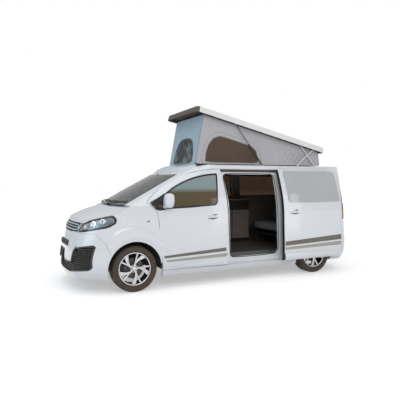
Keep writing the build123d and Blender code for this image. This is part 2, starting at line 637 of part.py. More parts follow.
# One blade and one narrow spoke from the wheel's centre outward, seen from the side
blade = [(-12, 30), (-10, 80), (-18, 150, "via"), (-44, SPOKE_TIP + 2), (22, SPOKE_TIP + 2), (20, 150, "via"),
         (13, 80), (12, 30)]
narrow = [(-8, 30), (-9, SPOKE_TIP + 2), (9, SPOKE_TIP + 2), (7, 30)]
spokes = [Rot(72 * i + turn, 0, 0) * prism(Plane.YZ, form, 0, 100)
          for i in range(5) for form, turn in ((blade, 14), (narrow, 47))]
spokes = [spoke & dish for spoke in spokes]
CAP_RADIUS = 31.0
DISC_RADIUS = 150.0
hub = cylinder_x(HUB_RADIUS, 0, 0, (-2, 50))
rim = join(rim, *spokes, hub, cylinder_x(CAP_RADIUS, 0, 0, (40, 56)), cylinder_x(DISC_RADIUS, 0, 0, (-14, 8)))
for side, sign in (("left", 1), ("right", -1)):
    for end, y in (("front", FRONT_AXLE_Y), ("rear", REAR_AXLE_Y)):
        place = Pos(sign * WHEEL_X, y, AXLE_Z)
        nodes[f"rim_{end}_{side}"] = place * (rim if sign > 0 else mirrored(rim))
        nodes[f"tyre_{end}_{side}"] = place * (tyre if sign > 0 else mirrored(tyre))

silencer = slab((-420, -150), (1350, 1560), (200, 295))
nodes["exhaust"] = rod((-260, -1200, 262), (-260, 1350, 262), 28) + silencer
nodes["fuel_tank"] = slab((150, 600), (-250, 700), (190, 296))

# ---- Cab ------------------------------------------------------------------------
DRIVER_X = -380.0
dash_side = [
    (FIREWALL_Y + 1, 760), (-980, 700), (-930, 900), (-985, 1090), (-1090, 1130), (FIREWALL_Y + 1, 1140),
]
nodes["dashboard"] = prism(Plane.YZ, dash_side, -770, 770)
wheel_tilt = Pos(DRIVER_X, -800, 1010) * Rot(-64, 0, 0)
nodes["steering_wheel"] = join(
    wheel_tilt * Torus(178, 15), wheel_tilt * Box(340, 34, 20), wheel_tilt * Cylinder(62, 34),
    rod((DRIVER_X, -795, 1005), (DRIVER_X, -928, 945), 30))


def seat(x, y, width, depth, height):
    """Cushion, back and headrest on a base; y is the middle of the cushion."""
    low = FLOOR_TOP_Z + 0.5
    half, rear = width / 2, y + depth / 2
    base = slab((x - half + 40, x + half - 40), (y - depth / 2 + 60, rear), (low, height - 130))
    cushion = slab((x - half, x + half), (y - depth / 2, rear + 40), (height - 130, height))
    back = [(y + depth / 2 - 60, height), (y + depth / 2 + 70, height), (y + depth / 2 + 210, height + 600),
            (y + depth / 2 + 110, height + 610)]
    rest = [(y + depth / 2 + 120, height + 640), (y + depth / 2 + 225, height + 640),
            (y + depth / 2 + 245, height + 820), (y + depth / 2 + 155, height + 825)]
    posts = slab((x - 60, x + 60), (y + depth / 2 + 150, y + depth / 2 + 175), (height + 590, height + 660))
    return join(cushion, base, prism(Plane.YZ, back, x - width / 2 + 15, x + width / 2 - 15),
                posts, prism(Plane.YZ, rest, x - 130, x + 130))


nodes["front_seats"] = Compound(children=[seat(x, -470, 500, 480, 800) for x in (-DRIVER_X, DRIVER_X)])
BENCH_X = (-330.0, 600.0)
bench_legs = [slab((x, x + 46), (1230, 1690), (FLOOR_TOP_Z + 0.5, 702))
              for x in (BENCH_X[0] + 20, BENCH_X[1] - 66)]
bench_bar = slab((BENCH_X[0] + 20, BENCH_X[1] - 20), (1230, 1262), (604, 636))
bench_cushion = slab(BENCH_X, (1180, 1720), (700, 840))
bench_back = prism(Plane.YZ, [(1640, 840), (1760, 840), (1850, 1400), (1750, 1400)], *BENCH_X)
nodes["rear_bench"] = join(bench_cushion, bench_back, bench_bar, *bench_legs)

# Kitchen along the right wall: carcass, worktop and door fronts (y, z pairs)
KITCHEN_X = (-868.0, -440.0)
KITCHEN_DOORS = [((700, 770), (500, 1050)), ((790, 1160), (500, 1050)), ((92, 380), (500, 1050)),
                 ((395, 685), (500, 1050)), ((92, 1160), (1070, 1226))]
DOOR_FRONT = 12.0
kitchen = join(
    slab(KITCHEN_X, (80, 1165), (480, 1240)),
    slab((KITCHEN_X[0], KITCHEN_X[1] - 50), (90, 1155), (FLOOR_TOP_Z + 0.5, 480)),
    slab((KITCHEN_X[0], KITCHEN_X[1] + 18), (70, 1172), (1240, 1262)),
    *[slab((KITCHEN_X[1], KITCHEN_X[1] + DOOR_FRONT), y, z) for y, z in KITCHEN_DOORS])
nodes["kitchen_unit"] = kitchen

# ---- Lifting roof -----------------------------------------------------------------
LID_HALF_X = 650.0
LID_LOW_Z = 1888.0          # rim of the closed lid
LID_HEIGHT = 98.0
LID_FRONT_Y = -575.0        # closed
LID_LENGTH = 2697.0
LID_SKIN = 24.0
LID_FLANGE = 8.0            # a lip round the rim stands out by this
LID_FLANGE_HEIGHT = 16.0
RAISED_DEG = 12.9
RAISED_REAR_RIM = (2135.0, 2120.0)

angle = math.radians(RAISED_DEG)
rise_y = RAISED_REAR_RIM[0] - (LID_FRONT_Y + LID_LENGTH)
rise_z = RAISED_REAR_RIM[1] - LID_LOW_Z
# The one line about which the closed lid turns into the raised one
k = 1 / (2 * math.tan(angle / 2))
POLE = (LID_FRONT_Y + LID_LENGTH + rise_y / 2 + rise_z * k, LID_LOW_Z + rise_z / 2 - rise_y * k)


def raised(shape):
    return Pos(0, *POLE) * Rot(-RAISED_DEG, 0, 0) * Pos(0, -POLE[0], -POLE[1]) * shape


def raised_point(y, z):
    c, s = math.cos(angle), math.sin(angle)
    dy, dz = y - POLE[0], z - POLE[1]
    return POLE[0] + dy * c + dz * s, POLE[1] - dy * s + dz * c


lid_y = (LID_FRONT_Y, LID_FRONT_Y + LID_LENGTH)
skin = LID_HALF_X - LID_FLANGE
lid = slab((-skin, skin), (lid_y[0] + LID_FLANGE, lid_y[1] - LID_FLANGE),
           (LID_LOW_Z, LID_LOW_Z + LID_HEIGHT))
lid = fillet(lid.edges().filter_by(Axis.Z), 90)
lid = fillet(lid.faces().sort_by(Axis.Z)[-1].edges(), 34)
lip = slab((-LID_HALF_X, LID_HALF_X), lid_y, (LID_LOW_Z, LID_LOW_Z + LID_FLANGE_HEIGHT))
lid = lid + fillet(lip.edges().filter_by(Axis.Z), 98)
hollow = slab((-LID_HALF_X + LID_SKIN, LID_HALF_X - LID_SKIN), (lid_y[0] + LID_SKIN, lid_y[1] - LID_SKIN),
              (LID_LOW_Z - 10, LID_LOW_Z + LID_HEIGHT - LID_SKIN))
hollow = fillet(hollow.edges().filter_by(Axis.Z), 90 - LID_SKIN)
# Plates under the lid that carry the upper pins: x, y with the lid closed
LID_PINS = {
    "rear": (INNER_PLATE_X, 1603.0),
    "front": (OUTER_PLATE_X, 1870.0),
    "strut": (INNER_PLATE_X, 214.0),
}
LID_PIN_Z = LID_LOW_Z + 4
plates = [slab((x, x + FOOT_THICK), (y - FOOT_HALF, y + FOOT_HALF),
               (LID_LOW_Z + 1, LID_LOW_Z + LID_HEIGHT - LID_SKIN + 2)) for x, y in LID_PINS.values()]
plates += [mirrored(plate) for plate in plates]
nodes["pop_top_shell"] = raised(join(lid - hollow, *plates))

CANVAS_HALF_X = 545.0
CANVAS_THICK = 8.0
CANVAS_LOW_Z = 1900.0
canvas_side = [(-466, CANVAS_LOW_Z), (2080, CANVAS_LOW_Z)] + [
    raised_point(y, LID_LOW_Z + 4) for y in (2030, -395)]
canvas = prism(Plane.YZ, canvas_side, -CANVAS_HALF_X, CANVAS_HALF_X)
inside = across(canvas_side, -CANVAS_THICK, (-CANVAS_HALF_X + CANVAS_THICK, CANVAS_HALF_X - CANVAS_THICK))
cloth_x = CANVAS_HALF_X - CANVAS_THICK
inside = inside + slab((-cloth_x, cloth_x), (-440, 2060), (1880, 1925))
canvas = canvas - inside
nodes["canvas"] = canvas

ARM_R = 8.0
for name, x, low_y, pin in (("scissor_rear_arms", ARM_REAR_X, ARM_REAR_Y, LID_PINS["rear"]),
                            ("scissor_front_arms", ARM_FRONT_X, ARM_FRONT_Y, LID_PINS["front"])):
    left = rod((x, low_y, PIN_Z), (x, *raised_point(pin[1], LID_PIN_Z)), ARM_R)
    nodes[name] = Compound(children=[left, mirrored(left)])
STRUT_LOW, STRUT_HIGH = (STRUT_Y, PIN_Z), raised_point(LID_PINS["strut"][1], LID_PIN_Z)
STRUT_TUBE = 0.52


def along(low, high, share):
    return tuple(a + (b - a) * share for a, b in zip(low, high))


tube = rod((STRUT_X, *STRUT_LOW), (STRUT_X, *along(STRUT_LOW, STRUT_HIGH, STRUT_TUBE)), 11)
bore = rod((STRUT_X, *along(STRUT_LOW, STRUT_HIGH, 0.05)),
           (STRUT_X, *along(STRUT_LOW, STRUT_HIGH, STRUT_TUBE + 0.01)), 5.5)
piston = rod((STRUT_X, *along(STRUT_LOW, STRUT_HIGH, 0.36)), (STRUT_X, *STRUT_HIGH), 5.0)
tube = tube - bore
nodes["strut_tubes"] = Compound(children=[tube, mirrored(tube)])
nodes["strut_rods"] = Compound(children=[piston, mirrored(piston)])

# Wedge on the roof ahead of the lid: from the side, from above and across
FAIRING_SIDE = [
    (-1050, 1664), (-820, 1796, "via"), (-600, 1876), (-540, 1880, "via"), (-478, 1880), (-478, 1700),
]
FAIRING_PLAN = [(0, -1048), (300, -1012, "via"), (560, -880), (612, -800, "via"), (622, -700), (622, -478),
                (-622, -478), (-622, -700), (-612, -800, "via"), (-560, -880), (-300, -1012, "via")]
FAIRING_ACROSS = [(0, 1880), (330, 1878, "via"), (560, 1868), (606, 1850, "via"), (624, 1800), (624, 1600),
                  (0, 1600)]
fairing = prism(Plane.YZ, FAIRING_SIDE, 0, 700) & prism(Plane.XY, FAIRING_PLAN, 1500, 2000)
fairing = (fairing & prism(Plane.XZ, FAIRING_ACROSS, 0, 1200)) - UPPER
nodes["roof_fairing"] = both(fairing)

# Mirrors: a head that narrows forward, on a foot at the window's corner
MIRROR = (1022.0, -1050.0, 1318.0)      # middle of the glass
MIRROR_SIZE = (166.0, 214.0)
MIRROR_DEPTH = 128.0
face = Plane((MIRROR[0], MIRROR[1], MIRROR[2]), x_dir=(1, 0, 0), z_dir=(0, -1, 0)) * RectangleRounded(
    *MIRROR_SIZE, 44)
mirror_head = extrude(face, MIRROR_DEPTH, taper=11)
mirror_head = fillet(mirror_head.faces().sort_by(Axis.Y)[0].edges(), 26)
glass_recess = extrude(offset(face, amount=-10), 6)
mirror_arm = prism(Plane.XY, [
    (900, -1180), (960, -1170), (985, -1110), (985, -1075), (900, -1085)], 1216, 1262)
mirror_left = join(mirror_head - glass_recess, mirror_arm) - OUTER
nodes["mirror_left"] = mirror_left
nodes["mirror_right"] = mirrored(mirror_left)

# Carriers of the open sliding door, which stop just short of its inner face
CARRIER_GAP = 3.0
door_near = Pos(-CARRIER_GAP, 0, 0) * nodes["sliding_door"]
nodes["door_rails"] = Compound(children=[
    slab((TRACK_DEPTH_X, 1000), (1500, 1560), (1187, 1205)) - door_near,
    slab((940, 975), (960, 1010), (300, 330))])

os.makedirs("parts", exist_ok=True)
for name, solid in nodes.items():
    export_step(solid, f"parts/{name}.step")
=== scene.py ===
import math

import bmesh
import bpy
import numpy as np
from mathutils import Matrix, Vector, geometry, noise
from mathutils.bvhtree import BVHTree

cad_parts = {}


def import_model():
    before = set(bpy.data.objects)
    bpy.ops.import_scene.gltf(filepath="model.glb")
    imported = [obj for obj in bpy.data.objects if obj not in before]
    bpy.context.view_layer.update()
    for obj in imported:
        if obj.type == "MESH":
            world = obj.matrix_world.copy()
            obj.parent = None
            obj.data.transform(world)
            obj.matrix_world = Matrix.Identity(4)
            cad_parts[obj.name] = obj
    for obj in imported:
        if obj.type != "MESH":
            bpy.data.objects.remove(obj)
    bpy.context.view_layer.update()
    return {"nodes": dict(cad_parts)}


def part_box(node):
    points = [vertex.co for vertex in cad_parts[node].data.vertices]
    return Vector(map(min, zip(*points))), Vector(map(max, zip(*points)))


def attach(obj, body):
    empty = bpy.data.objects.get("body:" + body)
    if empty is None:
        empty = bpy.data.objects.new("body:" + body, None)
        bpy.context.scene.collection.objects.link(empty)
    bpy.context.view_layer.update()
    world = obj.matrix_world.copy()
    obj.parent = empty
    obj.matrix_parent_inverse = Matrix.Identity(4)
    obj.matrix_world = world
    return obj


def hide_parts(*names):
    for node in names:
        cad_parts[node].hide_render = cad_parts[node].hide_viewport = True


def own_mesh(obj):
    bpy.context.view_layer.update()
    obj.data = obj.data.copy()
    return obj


# Camper van with a raised lifting roof: finishes, lamps, glass, cloth and trim
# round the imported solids. Metres, X to the van's left, Y to its rear, Z up.

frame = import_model()
cad = frame["nodes"]

# ---- Camera, lamps and floor ---------------------------------------------------
CAMERA_PLACE = (7.007, -3.518, 1.589)
CAMERA_YAW = 25.888         # degrees from straight across the van, towards its rear
CAMERA_DROP = 2.307         # degrees below the horizon
CAMERA_LENS = 39.81         # millimetres, on a sensor that is SENSOR wide
SENSOR = 36.0
SIDES = (("left", 1), ("right", -1))


def add_object(name, data):
    made = bpy.data.objects.new(name, data)
    bpy.context.scene.collection.objects.link(made)
    return made


def aim(thing, place, ahead):
    thing.location = place
    thing.rotation_mode = "QUATERNION"
    thing.rotation_quaternion = ahead.to_track_quat("-Z", "Y")


def camera():
    data = bpy.data.cameras.new("camera")
    data.lens = CAMERA_LENS
    data.sensor_width = SENSOR
    data.clip_start, data.clip_end = 0.05, 200.0
    made = add_object("camera", data)
    yaw, drop = math.radians(CAMERA_YAW), math.radians(CAMERA_DROP)
    ahead = Vector((-math.cos(yaw) * math.cos(drop), math.sin(yaw) * math.cos(drop), -math.sin(drop)))
    aim(made, CAMERA_PLACE, ahead)
    bpy.context.scene.camera = made


def lamp(name, place, target, size, power, colour):
    data = bpy.data.lights.new(name, "AREA")
    data.shape = "RECTANGLE"
    data.size, data.size_y = size
    data.energy = power
    data.color = colour
    aim(add_object(name, data), place, Vector(target) - Vector(place))


# ---- Shader building ------------------------------------------------------------
def tone(code):
    """Linear colour from a painter's hex code."""
    parts = [int(code[i:i + 2], 16) / 255 for i in (0, 2, 4)]
    return tuple(c / 12.92 if c <= 0.04045 else ((c + 0.055) / 1.055) ** 2.4 for c in parts) + (1.0,)


class Nodes:
    """Adds nodes to a tree; an input is a value or another node's socket."""

    def __init__(self, tree):
        self.tree = tree

    def feed(self, node, inputs):
        for socket, value in inputs.items():
            if isinstance(value, bpy.types.NodeSocket):
                self.tree.links.new(value, node.inputs[socket])
            else:
                node.inputs[socket].default_value = value
        return node

    def add(self, kind, inputs=None, **settings):
        node = self.tree.nodes.new(kind)
        for key, value in settings.items():
            setattr(node, key, value)
        return self.feed(node, inputs or {})

    def use(self, name, inputs):
        """Outputs of one of the shared effects below."""
        return self.feed(self.add("ShaderNodeGroup", node_tree=bpy.data.node_groups[name]), inputs).outputs

    def mixed(self, share, first, second):
        return self.add("ShaderNodeMix", {0: share, 6: first, 7: second}, data_type="RGBA").outputs[2]

    def maths(self, operation, *values):
        return self.add("ShaderNodeMath", dict(enumerate(values)), operation=operation).outputs[0]

    def noise(self, scale, detail=3.0, rough=0.5):
        return self.add("ShaderNodeTexNoise", {"Scale": scale, "Detail": detail, "Roughness": rough,
                                               "Vector": self.place()}).outputs["Fac"]

    def place(self):
        return self.add("ShaderNodeTexCoord").outputs["Object"]

    def axes(self, vector):
        return self.add("ShaderNodeSeparateXYZ", {0: vector}).outputs

    def ramp(self, value, low, high, to_low=0.0, to_high=1.0):
        return self.add("ShaderNodeMapRange", {0: value, 1: low, 2: high, 3: to_low, 4: to_high}).outputs[0]


GLASS_IOR = 1.45
SPOKE_FACE_X = 0.829
COLOUR, NUMBER, VECTOR = "NodeSocketColor", "NodeSocketFloat", "NodeSocketVector"


def effect(name, inputs, outputs):
    """Empty shader group with named sockets; returns its nodes, inputs and a way to set outputs."""
    group = bpy.data.node_groups.new(name, "ShaderNodeTree")
    for socket, kind in inputs:
        group.interface.new_socket(socket, in_out="INPUT", socket_type=kind)
    for socket, kind in outputs:
        group.interface.new_socket(socket, in_out="OUTPUT", socket_type=kind)
    made = Nodes(group)
    given = made.add("NodeGroupInput").outputs
    result = made.add("NodeGroupOutput").inputs
    return made, given, lambda socket, value: group.links.new(value, result[socket])


def uneven_colour():
    """Paint, cloth or plastic that is a little darker in soft patches."""
    n, given, give = effect("uneven_colour", [("Colour", COLOUR), ("Shade", COLOUR), ("Scale", NUMBER),
                                              ("Amount", NUMBER)], [("Colour", COLOUR)])
    patches = n.noise(given["Scale"], 4.0, 0.6)
    share = n.maths("MULTIPLY", n.ramp(patches, 0.35, 0.7), given["Amount"])
    give("Colour", n.mixed(share, given["Colour"], given["Shade"]))


def fine_grain():
    """Small relief with a roughness that varies along with it."""
    n, given, give = effect("fine_grain", [("Scale", NUMBER), ("Depth", NUMBER), ("Roughness", NUMBER),
                                           ("Spread", NUMBER)], [("Roughness", NUMBER), ("Normal", VECTOR)])
    grain = n.noise(given["Scale"], 2.0, 0.5)
    centred = n.maths("SUBTRACT", grain, 0.5)
    give("Roughness", n.maths("MULTIPLY_ADD", centred, given["Spread"], given["Roughness"]))
    bump = n.add("ShaderNodeBump", {"Height": grain, "Distance": given["Depth"]})
    give("Normal", bump.outputs["Normal"])


def road_dust():
    """Dust thrown up from the road, thicker towards the ground."""
    n, given, give = effect("road_dust", [("Colour", COLOUR), ("Dust", COLOUR), ("Reach", NUMBER),
                                          ("Amount", NUMBER)], [("Colour", COLOUR), ("Mask", NUMBER)])
    height = n.axes(n.place())["Z"]
    low = n.ramp(n.maths("DIVIDE", height, given["Reach"]), 0.35, 1.0, 1.0, 0.0)
    spread = n.maths("MULTIPLY", low, n.ramp(n.noise(5.0, 6.0, 0.65), 0.25, 0.8))
    mask = n.maths("MULTIPLY", spread, given["Amount"])
    give("Colour", n.mixed(mask, given["Colour"], given["Dust"]))
    give("Mask", mask)


def woven_cloth():
    """Plain weave: two crossing sets of threads, in colour and relief."""
    n, given, give = effect("woven_cloth", [("Colour", COLOUR), ("Thread", COLOUR), ("Threads", NUMBER),
                                            ("Relief", NUMBER)], [("Colour", COLOUR), ("Normal", VECTOR)])
    place = n.add("ShaderNodeVectorMath", {0: n.place(), 3: given["Threads"]}, operation="SCALE").outputs[0]
    axes = n.axes(place)
    along = n.maths("SINE", n.maths("ADD", axes["X"], axes["Y"]))
    up = n.maths("SINE", axes["Z"])
    weave = n.maths("MULTIPLY", along, up)
    slub = n.noise(90.0, 3.0, 0.6)
    share = n.maths("MULTIPLY_ADD", weave, 0.12, n.ramp(slub, 0.3, 0.7, 0.0, 0.5))
    give("Colour", n.mixed(share, given["Colour"], given["Thread"]))
    bump = n.add("ShaderNodeBump", {"Height": weave, "Distance": given["Relief"]})
    give("Normal", bump.outputs["Normal"])


for build in (uneven_colour, fine_grain, road_dust, woven_cloth):
    build()


def shader(name):
    """New material: its nodes and its Principled shader."""
    material = bpy.data.materials.new(name)
    material.use_nodes = True
    made = Nodes(material.node_tree)
    return material, made, material.node_tree.nodes["Principled BSDF"]


def finish(name, colour, shade, rough, patch=4.0, amount=0.5, grain=400.0, depth=0.0002, spread=0.15,
           dust=0.0, reach=0.8, **sockets):
    """Plain surface finish with patches, grain and, low on the van, road dust."""
    material, n, main = shader(name)
    base = n.use("uneven_colour", {"Colour": tone(colour), "Shade": tone(shade), "Scale": patch,
                                    "Amount": amount})["Colour"]
    if dust:
        base = n.use("road_dust", {"Colour": base, "Dust": tone("8d8478"), "Reach": reach,
                                    "Amount": dust})["Colour"]
    surface = n.use("fine_grain", {"Scale": grain, "Depth": depth, "Roughness": rough, "Spread": spread})
    n.feed(main, {"Base Color": base, "Roughness": surface["Roughness"], "Normal": surface["Normal"]})
    n.feed(main, {socket.replace("_", " "): value for socket, value in sockets.items()})
    return material


def pane(name, tint, share, rough, spread=0.02):
    """Glass of one share of clearness; tint(n) gives its colour from the material's nodes."""
    material, n, main = shader(name)
    film = n.use("fine_grain", {"Scale": 3.0, "Depth": 0.0004, "Roughness": rough, "Spread": spread})
    n.feed(main, {"Base Color": tint(n), "Roughness": film["Roughness"], "Transmission Weight": share,
                  "IOR": GLASS_IOR})
    return material


def glass(name, colour, share=1.0):
    """Pane of one even tint."""
    return pane(name, lambda n: n.use("uneven_colour", {"Colour": tone(colour), "Shade": tone(colour),
                                                        "Scale": 2.0, "Amount": 0.0})["Colour"], share, 0.02)


def sky_reflection_glass(name, painted_ground_colour, painted_sky_colour, low, high, share):
    """Pane whose tint changes with height, between two levels in metres: a painted reflection, brown ground
    below and pale sky above.
    """
    return pane(name, lambda n: n.mixed(n.ramp(n.axes(n.place())["Z"], low, high), tone(painted_ground_colour),
                                        tone(painted_sky_colour)), share, 0.03)


def glass_with_painted_streaks(name, colour, reflection_streak, share):
    """Dark pane whose soft lighter streaks are painted reflections."""
    return pane(name, lambda n: n.mixed(n.ramp(n.noise(11.0, 6.0, 0.7), 0.42, 0.68), tone(colour),
                                        tone(reflection_streak)), share, 0.05, 0.03)


def cloth(name, colour, thread, threads=2400.0, relief=0.0004):
    """Woven cloth with uneven threads."""
    material, n, main = shader(name)
    weave = n.use("woven_cloth", {"Colour": tone(colour), "Thread": tone(thread), "Threads": threads,
                                   "Relief": relief})
    patch = n.use("uneven_colour", {"Colour": weave["Colour"], "Shade": tone(thread), "Scale": 3.0,
                                     "Amount": 0.35})
    n.feed(main, {"Base Color": patch["Colour"], "Normal": weave["Normal"], "Roughness": 0.9})
    return material


def two_tone_alloy():
    """Bright machined faces over dark painted pockets."""
    material, n, main = shader("two_tone_alloy")
    facing = n.axes(n.add("ShaderNodeTexCoord").outputs["Normal"])["X"]
    outer = n.axes(n.place())["X"]
    face = n.ramp(n.maths("ABSOLUTE", facing), 0.66, 0.78)
    # Only the outer face of the spokes is bright, which begins this far from the van's middle
    proud = n.ramp(n.maths("ABSOLUTE", outer), SPOKE_FACE_X, SPOKE_FACE_X + 0.003)
    mask = n.maths("MULTIPLY", face, proud)
    bright = n.use("uneven_colour", {"Colour": tone("d9d9da"), "Shade": tone("c3c0bf"), "Scale": 14.0,
                                      "Amount": 0.5})["Colour"]
    dark = n.use("uneven_colour", {"Colour": tone("2b2825"), "Shade": tone("1d1a18"), "Scale": 20.0,
                                    "Amount": 0.6})["Colour"]
    grain = n.use("fine_grain", {"Scale": 500.0, "Depth": 0.00005, "Roughness": 0.36, "Spread": 0.12})
    n.feed(main, {"Base Color": n.mixed(mask, dark, bright), "Metallic": n.maths("MULTIPLY", mask, 0.55),
                  "Roughness": grain["Roughness"], "Normal": grain["Normal"]})
    return material


def clear_vinyl():
    """Clear window sheet, creased from folding; opaque, with its dark base colour painted shade of the tent's
    inside and its lighter creases painted highlights.
    """
    material, n, main = shader("clear_vinyl")
    crease = n.noise(3.6, 3.0, 0.5)
    # Painted highlights: the sheet is lighter in colour along its creases.
    tint = n.mixed(n.ramp(crease, 0.52, 0.70), tone("1a2424"), tone("6b8185"))
    bump = n.add("ShaderNodeBump", {"Height": crease, "Distance": 0.03})
    n.feed(main, {"Base Color": tint, "Normal": bump.outputs["Normal"], "Roughness": 0.3,
                  "Specular IOR Level": 0.3})
    return material


PAINT = finish("white_paint", "d9dde3", "d1d6dc", 0.28, patch=1.3, amount=0.35, grain=60.0, depth=0.00002,
               spread=0.03, dust=0.12, Coat_Weight=0.8, Coat_Roughness=0.04)
# The fairing cap's paint is a cooler, darker copy of the white paint: a painted bluish reflection of the sky.
CAP_PAINT_SKY_REFLECTION = finish("cap_painted_sky_reflection", "c3ced8", "bac6d1", 0.3, patch=1.3, amount=0.3, grain=60.0, depth=0.00002,
                   spread=0.03, Coat_Weight=0.6)
GELCOAT = finish("white_gelcoat", "e3e5e5", "d8dad9", 0.34, patch=2.0, grain=120.0, depth=0.00005)
STRIPE_DARK = finish("stripe_dark_grey", "6b645c", "625b53", 0.4, patch=3.0, grain=80.0, depth=0.00002)
STRIPE_LIGHT = finish("stripe_light_grey", "a3a098", "9a978f", 0.4, patch=3.0, grain=80.0, depth=0.00002)
SATIN_BLACK = finish("satin_black", "1d1e20", "141517", 0.45, grain=900.0, dust=0.25)
GLOSS_BLACK = finish("gloss_black", "121316", "17181b", 0.14, grain=50.0, depth=0.00002, spread=0.04,
                     Coat_Weight=0.5)
GRAINED_PLASTIC = finish("grained_plastic", "3d4043", "2f3134", 0.6, grain=1400.0, depth=0.0006, dust=0.3)
LINER_FELT = finish("arch_liner", "1b1917", "131210", 0.9, grain=700.0, depth=0.0008, dust=0.35)
RUBBER = finish("rubber_seal", "17171a", "202023", 0.7, grain=500.0)
TYRE = finish("tyre_rubber", "43362c", "332921", 0.6, patch=9.0, amount=0.9, grain=700.0, depth=0.0005)
ALLOY = two_tone_alloy()
BOLT_STEEL = finish("wheel_bolt", "77757a", "5f5d61", 0.35, grain=300.0, Metallic=0.8)
CHROME = finish("bright_reflector", "e6ebee", "cfd6da", 0.12, grain=60.0, depth=0.00003, spread=0.05,
                Metallic=0.85)
GRILLE_BRIGHT = finish("grille_bright", "b9c5cd", "a5b2ba", 0.25, grain=60.0, depth=0.00003, Metallic=0.2)
LAMP_SHELL = finish("lamp_housing", "8f989e", "6f787e", 0.25, patch=12.0, grain=200.0, Metallic=0.4)
CAST_IRON = finish("cast_metal", "4a4a4c", "3a3532", 0.6, patch=20.0, grain=250.0, depth=0.0008, Metallic=0.5,
                   dust=0.4)
UNDERSEAL = finish("underseal", "232426", "191a1b", 0.85, grain=300.0, depth=0.001, dust=0.5)
TRIM_GREY = finish("cabin_trim", "756e67", "68615b", 0.75, grain=1200.0, depth=0.0004)
TRIM_DARK = finish("dark_trim", "26272a", "1e1f21", 0.6, grain=1200.0, depth=0.0005)
HEADLINING = cloth("headlining", "7b7068", "6a6058")
LID_LINING = cloth("lid_lining", "6a625c", "564f49")
SEAT_CLOTH = cloth("seat_cloth", "8c8c92", "6b6b70", threads=1500.0, relief=0.0008)
FLOOR_VINYL = finish("floor_vinyl", "57524e", "474340", 0.55, patch=7.0, grain=300.0)
STEP_PLASTIC = finish("step_plastic", "6d7674", "5e6664", 0.6, patch=5.0, grain=900.0, depth=0.0006)
CUPBOARD = finish("cupboard_front", "7d716a", "72665f", 0.5, patch=4.0, grain=60.0, depth=0.00003)
CARCASS = finish("cupboard_carcass", "2a2422", "221d1b", 0.5, patch=4.0, grain=300.0)
WORKTOP = finish("worktop", "2c2422", "211b19", 0.35, patch=8.0, grain=300.0)
WOOD_EDGE = finish("wood_edge", "8a7256", "715c44", 0.45, patch=30.0, grain=200.0)
ALUMINIUM = finish("white_arm", "d5d6d9", "c5c8cc", 0.35, grain=200.0)
STRUT_BROWN = finish("gas_strut", "3a302b", "2d2521", 0.4, grain=300.0)
# The windscreen's lighter streaks are painted reflections.
SCREEN_GLASS = glass_with_painted_streaks("screen_glass", "24272a", "666c70", 0.3)
# Front door glass tinted brown low and pale blue high: a painted reflection of ground and sky.
DOOR_GLASS_PAINTED_SKY = sky_reflection_glass("door_glass", "77694f", "aebfc2", 1.43, 1.50, 0.5)
# Opaque pale grey in place of dark glass: a painted reflection of the bright surroundings.
PRIVACY_GLASS_PAINTED_REFLECTION = finish("privacy_glass_painted_reflection", "b3b7bb", "a8acb0", 0.1, patch=0.9, grain=4.0, depth=0.0003,
                       spread=0.02, Coat_Weight=0.6, Coat_Roughness=0.03)
TINTED_GLASS = glass("tinted_glass", "42342a", share=0.8)
HEAD_TRIM = finish("entry_head_trim", "5f5348", "50463c", 0.7, grain=900.0)
LENS = glass("lamp_lens", "f0f4f6")
RED_LENS = finish("red_lens", "7a1c20", "5f1518", 0.16, patch=20.0, grain=60.0, depth=0.0001, Coat_Weight=0.8)
SMOKED_LENS = finish("smoked_lens", "77736e", "6a6661", 0.2, grain=100.0, Coat_Weight=0.6)
MIRROR = finish("mirror_silver", "c9d0d6", "c0c7cd", 0.03, grain=30.0, depth=0.00001, spread=0.01,
                Metallic=1.0)
CLOTH_WARM = cloth("tent_cloth_warm", "b9b7bb", "abaaad")
# Cooler, bluer copies of the cloth and binding, for the front wall and the corner seams: painted shade where
# skylight falls on that side.
CLOTH_PAINTED_SKY_SHADE = cloth("tent_cloth_painted_sky_shade", "a9bfcd", "9bb1bf")
CLOTH_BINDING = cloth("tent_binding", "9c9492", "8b8381")
BINDING_PAINTED_SKY_SHADE = cloth("tent_binding_painted_sky_shade", "7a8993", "6c7b85")
INSECT_NET = cloth("insect_net", "5b4d42", "453a31", threads=5200.0, relief=0.0006)
CLEAR_VINYL = clear_vinyl()

NODE_FINISH = {
    PAINT: ["door_left", "door_right", "sliding_door", "tailgate", "bonnet", "front_bumper", "front_wings",
            "roof_panel", "rear_bumper", "side_left", "side_right", "roof_fairing", "mirror_left",
            "mirror_right"],
    GELCOAT: ["pop_top_shell"],
    SATIN_BLACK: ["grilles"],
    LINER_FELT: ["wheel_liners"],
    LENS: ["headlamps"],
    LAMP_SHELL: ["headlamp_housings"],
    RED_LENS: ["tail_lamps"],
    DOOR_GLASS_PAINTED_SKY: ["door_glass_left", "door_glass_right"],
    SCREEN_GLASS: ["windscreen"],
    PRIVACY_GLASS_PAINTED_REFLECTION: ["sliding_door_glass"],
    TINTED_GLASS: ["side_windows", "tailgate_glass"],
    UNDERSEAL: ["floor_pan", "fuel_tank"],
    CAST_IRON: ["engine_block", "front_subframe", "knuckle_left", "knuckle_right", "rear_axle", "exhaust"],
    ALLOY: ["rim_front_left", "rim_front_right", "rim_rear_left", "rim_rear_right"],
    TYRE: ["tyre_front_left", "tyre_front_right", "tyre_rear_left", "tyre_rear_right"],
    TRIM_DARK: ["dashboard", "steering_wheel"],
    SEAT_CLOTH: ["front_seats", "rear_bench"],
    CARCASS: ["kitchen_unit"],
    CLOTH_WARM: ["canvas"],
    ALUMINIUM: ["scissor_rear_arms", "scissor_front_arms", "door_rails"],
    STRUT_BROWN: ["strut_tubes", "strut_rods"],
}


